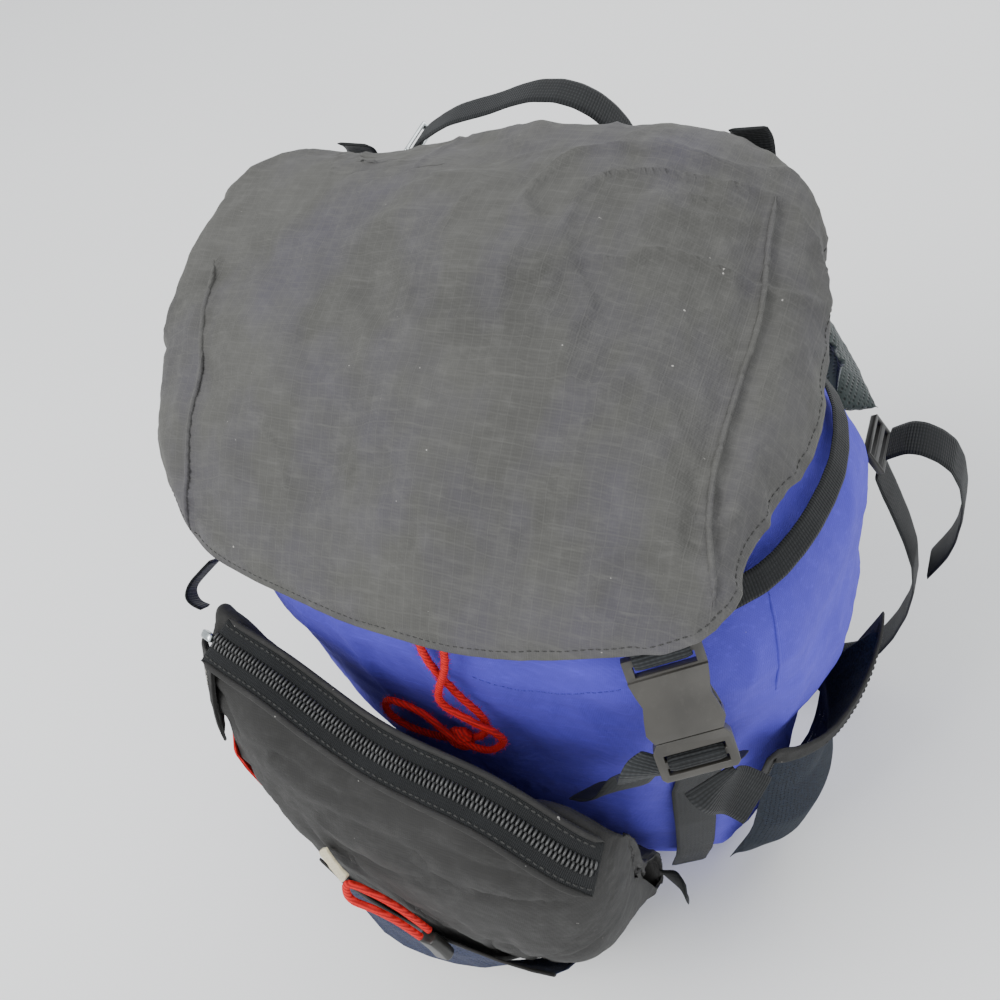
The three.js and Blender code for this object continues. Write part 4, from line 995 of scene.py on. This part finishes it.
class BACKPACK_OT_zip(bpy.types.Operator):
    """Makes the front pocket's zip: woven tape, a coil of teeth, a slider and the stitches that hold it"""

    bl_idname = "backpack.zip"
    bl_label = "Zip"

    def execute(self, context):
        path, ups = zip_path()
        sides = unit(np.cross(ways_of(path), ups))
        verts, faces, uv = swept(path - ups * 1.2 * MM, ups, band_section(25 * MM, 1.2 * MM, 15))
        add_piece("zip_tape_cloth", verts, faces, "zip_tape_weave", ("zip_tape",), uv)
        self.teeth(path, ups, sides)
        for name, aside in (("upper", -12.8 * MM), ("lower", 12.8 * MM)):
            lip = path + sides * aside - ups * 1.0 * MM
            piping("zip_lip_" + name, lip, ups, 1.7 * MM, "pocket_weave")
        bevelled("zip_slider_body", "zip_slider", 0.9 * MM, "steel")
        threads = Stitching()
        for aside in (-9.5 * MM, 9.5 * MM):
            threads.row(path + sides * aside - ups * 0.5 * MM, ups)
        threads.piece("zip_stitches", "dark_thread", "webbing")
        return {"FINISHED"}

    def teeth(self, path, ups, sides):
        pitch = trim_settings().tooth_pitch
        run = np.concatenate([[0], np.cumsum(np.linalg.norm(np.diff(path, axis=0), axis=1))])
        verts, faces = [], []
        for side in (-1, 1):
            for s in np.arange(pitch * (0.75 if side > 0 else 0.25), run[-1] - pitch, pitch):
                at, up, out = (
                    np.array([np.interp(s, run, rows[:, k]) for k in range(3)]) for rows in (path, ups, sides)
                )
                way = unit(np.cross(up, out))
                first = len(verts)
                for share, rise, thick in ((-0.08, 0.2, 0.7), (0.22, 0.95, 0.95), (0.7, 0.75, 0.9), (1.0, -0.1, 0.7)):
                    centre = at + out * side * share * 3.9 * MM + up * (rise * 0.9 - 0.1) * MM
                    for turn in range(6):
                        c, q = math.cos(turn * math.pi / 3), math.sin(turn * math.pi / 3)
                        verts.append(centre + (way * c * 0.72 + up * q * 0.7) * thick * MM)
                for ring in range(3):
                    for k in range(6):
                        i, j = first + ring * 6 + k, first + ring * 6 + (k + 1) % 6
                        faces.append((i, j, j + 6, i + 6) if side < 0 else (j, i, i + 6, j + 6))
                ends = [tuple(first + k for k in range(6)), tuple(first + 18 + k for k in range(6))[::-1]]
                faces += ends if side > 0 else [end[::-1] for end in ends]
        add_piece("zip_teeth", verts, faces, "coil_plastic_shine", ("zip_coil",))


# ---- webbing ---------------------------------------------------------------------------------------


def rings_of(node):
    """The rings of corners that a strap or tube was lofted through, from end to end"""
    made = node_mesh(node)
    ends = [
        v
        for v in made.verts
        if len(v.link_faces) >= 4 and all(face.normal.dot(v.link_faces[0].normal) > 0.9995 for face in v.link_faces)
    ]
    if len(ends) != 2:
        raise RuntimeError(f"{node}: {len(ends)} ends found on a strap that should have two")
    around = {v: {edge.other_vert(v) for edge in v.link_edges} for v in made.verts}
    seen, ring, rings = {ends[0]}, around[ends[0]], []
    while ring and ends[1] not in ring:
        order = [next(iter(ring))]
        while len(order) < len(ring):
            order.append(next(v for v in around[order[-1]] if v in ring and v not in order))
        rings.append(np.array([v.co for v in order]))
        seen |= ring
        ring = set().union(*(around[v] for v in ring)) - seen
    made.free()
    return rings


def strap_lines(node):
    """The two edges of a flat strap, as matching rows of points"""
    left, right = [], []
    for ring in rings_of(node):
        pairs = [(ring[0] + ring[1]) / 2, (ring[2] + ring[3]) / 2], [(ring[1] + ring[2]) / 2, (ring[3] + ring[0]) / 2]
        ends = max(pairs, key=lambda pair: np.linalg.norm(pair[0] - pair[1]))
        if left and np.linalg.norm(ends[0] - left[-1]) > np.linalg.norm(ends[1] - left[-1]):
            ends = ends[::-1]
        left.append(ends[0])
        right.append(ends[1])
    return np.array(left), np.array(right)


def webbing(node, thick=1.7 * MM, material="webbing_ribs"):
    """Redraws a flat strap with rounded edges, close rings and its own cloth coordinates"""
    left, right = strap_lines(node)
    spacing = 1.6 * MM
    middle = (left + right) / 2
    run = np.concatenate([[0], np.cumsum(np.linalg.norm(np.diff(middle, axis=0), axis=1))])
    at = np.linspace(0, run[-1], max(6, int(run[-1] / spacing)))
    rows = [smooth_rows(run, line, at) for line in (left, right)]
    path = (rows[0] + rows[1]) / 2
    sides = rows[1] - rows[0]
    widths = np.linalg.norm(sides, axis=1)
    ups = unit(np.cross(unit(sides), ways_of(path)))
    rings = np.array([band_section(width, thick) for width in widths])
    ripple = 0.25 * MM * lumps(path, 0.018, 61)[:, None] + 0 * ups
    verts, faces, uv = swept(path + ups * ripple, ups, rings)
    return add_piece(node + "_band", verts, faces, material, (node,), uv)


def smooth_rows(run, line, at):
    made = np.stack([np.interp(at, run, line[:, k]) for k in range(3)], axis=1)
    for _ in range(3):
        made[1:-1] = (made[:-2] + 2 * made[1:-1] + made[2:]) / 4
    return made


class BACKPACK_OT_straps(bpy.types.Operator):
    """Makes every flat strap of webbing"""

    bl_idname = "backpack.straps"
    bl_label = "Straps"

    def execute(self, context):
        dark = [
            "front_strap_right",
            "strap_tail_right",
            "strap_end",
            "compression_strap_right",
            "lid_tail_left",
            "lid_tie_right",
            "lid_tie_left",
            "shoulder_webbing_right",
            "shoulder_webbing_left",
            "shoulder_tail_right",
            "shoulder_tail_left",
        ]
        for node in dark:
            webbing(node)
        webbing("strap_tail_left", material="grey_ribs")
        webbing("lid_strap_right", material="grey_ribs")
        webbing("haul_loop", 2.2 * MM)
        return {"FINISHED"}


# ---- hard pieces -----------------------------------------------------------------------------------


class BACKPACK_OT_buckles(bpy.types.Operator):
    """Makes the moulded buckle, the strap locks and the metal keeper"""

    bl_idname = "backpack.buckles"
    bl_label = "Buckles"

    def execute(self, context):
        bevelled("buckle_socket_body", "buckle_socket", 1.1 * MM, "buckle_plastic", 3)
        bevelled("buckle_plug_body", "buckle_plug", 0.9 * MM, "buckle_plastic", 3)
        for side in ("right", "left"):
            bevelled("strap_lock_" + side, "ladder_lock_" + side, 0.8 * MM, "dark_plastic")
        bevelled("keeper_ring", "haul_keeper", 0.9 * MM, "steel", 3)
        bevelled("elastic_sleeve", "bungee_sleeve", 1.2 * MM, "dark_plastic", 3)
        return {"FINISHED"}


# ---- sewn-on pieces --------------------------------------------------------------------------------


class BACKPACK_OT_trim(bpy.types.Operator):
    """Makes what is sewn on the front pocket: red patch, strap loop, cream tape and red elastic"""

    bl_idname = "backpack.trim"
    bl_label = "Pocket trim"

    def execute(self, context):
        patch = copy_of_node("red_patch", "label_patch")
        soften(patch, 2, 0.25 * MM, 71)
        dress(patch, "red_patch_weave", ("label_patch",))
        strap = copy_of_node("strap_loop_band", "lash_strap")
        soften(strap, 2, 0.3 * MM, 72)
        dress(strap, "pocket_weave", ("lash_strap",))
        tab = copy_of_node("cream_tab", "lash_tab")
        soften(tab, 3, 0.45 * MM, 73)
        dress(tab, "cream_tape_weave", ("lash_tab",))
        path = along_path(np.array([ring.mean(axis=0) for ring in rings_of("bungee_loop")]), 1.2 * MM)
        verts, faces, uv = twisted_tube(path, 2.1 * MM, plies=6, twist=2.6 * MM, depth=0.08)
        add_piece("red_elastic", verts, faces, "red_yarn", ("bungee_loop",), uv)
        threads = Stitching(0.45 * MM)
        for node in ("label_patch", "lash_strap"):
            low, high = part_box(node)
            tree = node_tree(node)
            for share in (0.12, 0.88):
                z = low.z + (high.z - low.z) * share
                row = np.linspace((low.x, low.y, z), (high.x, high.y, z), 12)
                path, ups = laid_on(tree, row, 0.3 * MM)
                threads.row(path, ups)
        threads.piece("trim_stitches", "pale_thread", "webbing")
        return {"FINISHED"}


def soften(piece, rounds, depth, seed):
    edge = piece.modifiers.new("edge", "BEVEL")
    edge.width = 0.4 * MM
    edge.limit_method = "ANGLE"
    piece.modifiers.new("rounds", "SUBSURF").levels = rounds
    settle(piece)
    points = points_of(piece)
    push_out(piece, depth * lumps(points, 7 * MM, seed) + 0.3 * depth * lumps(points, 2 * MM, seed + 1))


# ---- net pockets -----------------------------------------------------------------------------------


def net_faces(rows, columns):
    """Cells with a lozenge hole in each: the corner points, then four points in each cell"""
    corners = (rows + 1) * (columns + 1)
    faces = []
    for i in range(rows):
        for j in range(columns):
            a = i * (columns + 1) + j
            ring = [a, a + 1, a + columns + 2, a + columns + 1]
            hole = [corners + (i * columns + j) * 4 + k for k in range(4)]
            if i in (0, rows - 1) or j in (0, columns - 1):
                faces.append(tuple(ring))
                continue
            for k in range(4):
                faces.append((ring[k], ring[(k + 1) % 4], hole[(k + 1) % 4], hole[k]))
    return faces


def net_sheet(name, grid, material, replaces, hole=0.3):
    """A net from a grid of points: yarn round lozenge holes, with a little thickness"""
    rows, columns = grid.shape[0] - 1, grid.shape[1] - 1
    verts = list(grid.reshape(-1, 3))
    a, b, c, d = grid[:-1, :-1], grid[:-1, 1:], grid[1:, 1:], grid[1:, :-1]
    centre = (a + b + c + d) / 4
    middles = [centre + (corner - centre) * hole * 1.5 for corner in (a, b, c, d)]
    for i in range(rows):
        for j in range(columns):
            verts += [m[i, j] for m in middles]
    piece = add_piece(name, verts, net_faces(rows, columns), material, replaces)
    loose = bmesh.new()
    loose.from_mesh(piece.data)
    bmesh.ops.delete(loose, geom=[v for v in loose.verts if not v.link_faces], context="VERTS")
    loose.to_mesh(piece.data)
    loose.free()
    thicken(piece, 0.5 * MM, 0)
    piece.data.polygons.foreach_set("use_smooth", [False] * len(piece.data.polygons))
    return piece


class BACKPACK_OT_nets(bpy.types.Operator):
    """Makes the two side pockets and the small front panel of net, with their bound edges"""

    bl_idname = "backpack.nets"
    bl_label = "Net pockets"

    def execute(self, context):
        pitch = trim_settings().net_pitch
        for side, middle, span in (("right", -13.5, 35.0), ("left", 177.0, 40.0)):
            node = "side_mesh_" + side
            tree = node_tree(node)
            low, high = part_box(node)
            turns = np.radians(np.linspace(middle - span / 2 + 0.15, middle + span / 2 - 0.15, int(150 * MM / pitch)))
            columns = []
            for turn in turns:
                out = Vector((math.cos(turn), math.sin(turn), 0))
                column = []
                for z in np.arange(low.z + 0.6 * MM, high.z, 0.8 * MM):
                    at = tree.ray_cast(out * 0.4 + Vector((0, 0, z)), -out, 0.35)[0]
                    if at is not None:
                        column.append(np.array(at))
                columns.append(evenly(np.array(column), run_length(np.array(column)) / int(200 * MM / pitch)))
            count = min(len(column) for column in columns)
            grid = np.array([column[:count] for column in columns])
            grid = relax(grid)
            net_sheet("net_pocket_" + side, grid, "net_yarn", (node,), 0.15)
            self.bind(side, grid)
        self.front_panel(pitch)
        return {"FINISHED"}

    def bind(self, side, grid):
        rim = evenly(grid[:, -1], 3 * MM)
        outwards = unit(rim * [1, 1, 0])
        verts, faces, uv = swept(rim + outwards * 0.3 * MM, outwards, band_section(11 * MM, 2.2 * MM))
        add_piece("net_binding_" + side, verts, faces, "binding_weave", uv=uv)
        threads = Stitching()
        threads.row(rim + outwards * 1.5 * MM + [0, 0, -3.5 * MM], outwards)
        threads.piece("net_stitches_" + side, "dark_thread", "net")

    def front_panel(self, pitch):
        tree = node_tree("pocket_mesh")
        low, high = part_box("pocket_mesh")
        rows = []
        for x in np.arange(low.x + 1.5 * MM, high.x - 1.5 * MM, pitch):
            row = []
            for z in np.arange(low.z + 0.5 * MM, high.z, 0.8 * MM):
                at = tree.ray_cast(Vector((x, -0.5, z)), Vector((0, 1, 0)), 0.6)[0]
                if at is not None:
                    row.append(np.array(at))
            if len(row) > 8:
                rows.append(evenly(np.array(row), run_length(np.array(row)) / int(75 * MM / pitch)))
        count = min(len(row) for row in rows)
        grid = relax(np.array([row[:count] for row in rows]))
        net_sheet("front_net_panel", grid, "pocket_net_yarn", ("pocket_mesh",), 0.17)
        path, ups = laid_on(tree, evenly(grid[:, -1], 3 * MM), 0.5 * MM)
        verts, faces, uv = swept(path, ups, band_section(7 * MM, 1.6 * MM))
        add_piece("front_net_binding", verts, faces, "binding_weave", uv=uv)


def relax(grid, rounds=4):
    for _ in range(rounds):
        grid[1:-1, 1:-1] = (
            grid[1:-1, 1:-1] * 4 + grid[:-2, 1:-1] + grid[2:, 1:-1] + grid[1:-1, :-2] + grid[1:-1, 2:]
        ) / 8
    return grid


# ---- padded pieces ---------------------------------------------------------------------------------


def puffed(name, node, cap, shrink, voxel=5 * MM):
    """A pad: its node's shape made slightly smaller, then swollen as cloth with air in it"""
    pad = copy_of_node(name, node)
    low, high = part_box(node)
    fine = pad.modifiers.new("voxels", "REMESH")
    fine.mode = "VOXEL"
    fine.voxel_size = voxel
    calm = pad.modifiers.new("calm", "SMOOTH")
    calm.iterations = 8
    calm.factor = 0.6
    settle(pad)
    start = points_of(pad) - normals_of(pad) * shrink
    move_points(pad, start)
    scene = bpy.context.scene
    cloth = pad.modifiers.new("cloth", "CLOTH")
    cloth.settings.use_pressure = True
    cloth.settings.uniform_pressure_force = 4
    cloth.settings.effector_weights.gravity = 0
    cloth.settings.quality = 4
    cloth.point_cache.frame_start = 1
    cloth.point_cache.frame_end = 20
    for step in range(1, 21):
        scene.frame_set(step)
        bpy.context.view_layer.update()
    settle(pad)
    scene.frame_set(1)
    moved = points_of(pad) - start
    far = np.linalg.norm(moved, axis=1, keepdims=True)
    moved *= np.minimum(1, cap / np.maximum(far, 1e-9))
    move_points(pad, np.clip(start + moved, np.array(low), np.array(high)))
    pad.modifiers.new("rounds", "SUBSURF").levels = 1
    return settle(pad)


class BACKPACK_OT_back(bpy.types.Operator):
    """Makes the padded back with its sewn channels"""

    bl_idname = "backpack.back"
    bl_label = "Back panel"

    def execute(self, context):
        back = puffed("back_padding", "back_panel", 5 * MM, 1.5 * MM)
        points = points_of(back)
        low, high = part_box("back_panel")
        middle = (low.x + high.x) / 2
        u = (points[:, 0] - middle) / ((high.x - low.x) / 2)
        v = (points[:, 2] - low.z) / (high.z - low.z)
        facing = np.clip(normals_of(back)[:, 1], 0, 1)
        grooves = sum(np.exp(-(((u - at) / 0.03) ** 2)) for at in (-0.62, -0.24, 0.24, 0.62))
        grooves = grooves * np.clip((0.93 - np.abs(2 * v - 1)) / 0.08, 0, 1)
        bars = sum(np.exp(-(((v - at) / 0.012) ** 2)) for at in (0.3, 0.68)) * (np.abs(u) < 0.9)
        dents = 0.6 * MM * lumps(points, 0.03, 6) + 0.25 * MM * folds(points, 0.012, 16)
        push_out(back, facing * (-3.2 * MM * np.maximum(grooves, bars)) + dents - 0.6 * MM)
        dress(back, "pad_knit", ("back_panel",))
        tree = tree_of(back)
        threads = Stitching()
        for at in (-0.62, -0.24, 0.24, 0.62):
            x = middle + at * (high.x - low.x) / 2
            row = np.linspace((x, high.y + 0.02, low.z + 25 * MM), (x, high.y + 0.02, high.z - 25 * MM), 90)
            path = [tree.ray_cast(Vector(p), Vector((0, -1, 0)), 0.1) for p in row]
            path = [hit for hit in path if hit[0] is not None]
            threads.row(
                np.array([hit[0] + Vector((0, 0.3 * MM, 0)) for hit in path]), np.array([hit[1] for hit in path])
            )
        threads.piece("back_stitches", "pale_thread", "pad_cloth")
        return {"FINISHED"}


class BACKPACK_OT_shoulders(bpy.types.Operator):
    """Makes the two padded shoulder straps"""

    bl_idname = "backpack.shoulders"
    bl_label = "Shoulder straps"

    def execute(self, context):
        for side in ("right", "left"):
            node = "shoulder_strap_" + side
            pad = puffed("shoulder_pad_" + side, node, 5 * MM, 1.2 * MM, 4 * MM)
            points = points_of(pad)
            push_out(pad, 0.5 * MM * lumps(points, 0.02, 9) + 0.3 * MM * folds(points, 0.012, 19) - 0.3 * MM)
            dress(pad, "pad_knit", (node,))
        return {"FINISHED"}


# ---- stage -----------------------------------------------------------------------------------------


class BACKPACK_OT_stage(bpy.types.Operator):
    """Sets the pale floor and the soft studio light"""

    bl_idname = "backpack.stage"
    bl_label = "Stage"

    def execute(self, context):
        mesh = bpy.data.meshes.new("floor")
        reach = 6.0
        corners = [(-reach, -reach, 0), (reach, -reach, 0), (reach, reach, 0), (-reach, reach, 0)]
        mesh.from_pydata(corners, [], [(0, 1, 2, 3)])
        mesh.materials.append(finishes()["pale_floor"])
        floor = bpy.data.objects.new("floor", mesh)
        context.scene.collection.objects.link(floor)
        world = bpy.data.worlds.new("studio")
        world.use_nodes = True
        sky = world.node_tree.nodes["Background"]
        sky.inputs["Color"].default_value = (0.93, 0.96, 1.0, 1.0)
        sky.inputs["Strength"].default_value = 0.95
        context.scene.world = world
        for name, place, size, power in (
            ("key", (-1.1, -1.3, 2.3), 1.4, 62),
            ("fill", (1.9, -1.2, 1.5), 2.2, 20),
            ("back", (0.4, 2.1, 1.9), 1.8, 26),
        ):
            data = bpy.data.lights.new(name, "AREA")
            data.size = size
            data.energy = power
            lamp = bpy.data.objects.new(name, data)
            lamp.location = place
            lamp.rotation_euler = (Vector((0, 0, 0.25)) - lamp.location).to_track_quat("-Z", "Y").to_euler()
            context.scene.collection.objects.link(lamp)
        return {"FINISHED"}


OPERATORS = (
    BACKPACK_OT_camera,
    BACKPACK_OT_drawcord,
    BACKPACK_OT_sack,
    BACKPACK_OT_lid,
    BACKPACK_OT_pocket,
    BACKPACK_OT_zip,
    BACKPACK_OT_straps,
    BACKPACK_OT_buckles,
    BACKPACK_OT_trim,
    BACKPACK_OT_nets,
    BACKPACK_OT_back,
    BACKPACK_OT_shoulders,
    BACKPACK_OT_stage,
)


class BACKPACK_PT_panel(bpy.types.Panel):
    """Lists the backpack's settings and the steps that make it"""

    bl_idname = "BACKPACK_PT_panel"
    bl_label = "Hiking backpack"
    bl_space_type = "VIEW_3D"
    bl_region_type = "UI"
    bl_category = "Backpack"

    def draw(self, context):
        for settings in (cloth_settings(), trim_settings()):
            box = self.layout.box()
            for name in settings.__annotations__:
                box.prop(settings, name)
        for kind in OPERATORS:
            self.layout.operator(kind.bl_idname)


CLASSES = (BackpackCloth, BackpackTrim, *OPERATORS, BACKPACK_PT_panel)


def register():
    for kind in CLASSES:
        bpy.utils.register_class(kind)
    bpy.types.Scene.backpack_cloth = bpy.props.PointerProperty(type=BackpackCloth)
    bpy.types.Scene.backpack_trim = bpy.props.PointerProperty(type=BackpackTrim)


def unregister():
    del bpy.types.Scene.backpack_trim
    del bpy.types.Scene.backpack_cloth
    for kind in reversed(CLASSES):
        bpy.utils.unregister_class(kind)


def main():
    register()
    for kind in OPERATORS:
        group, name = kind.bl_idname.split(".")
        getattr(getattr(bpy.ops, group), name)()


if __name__ == "__main__":
    main()
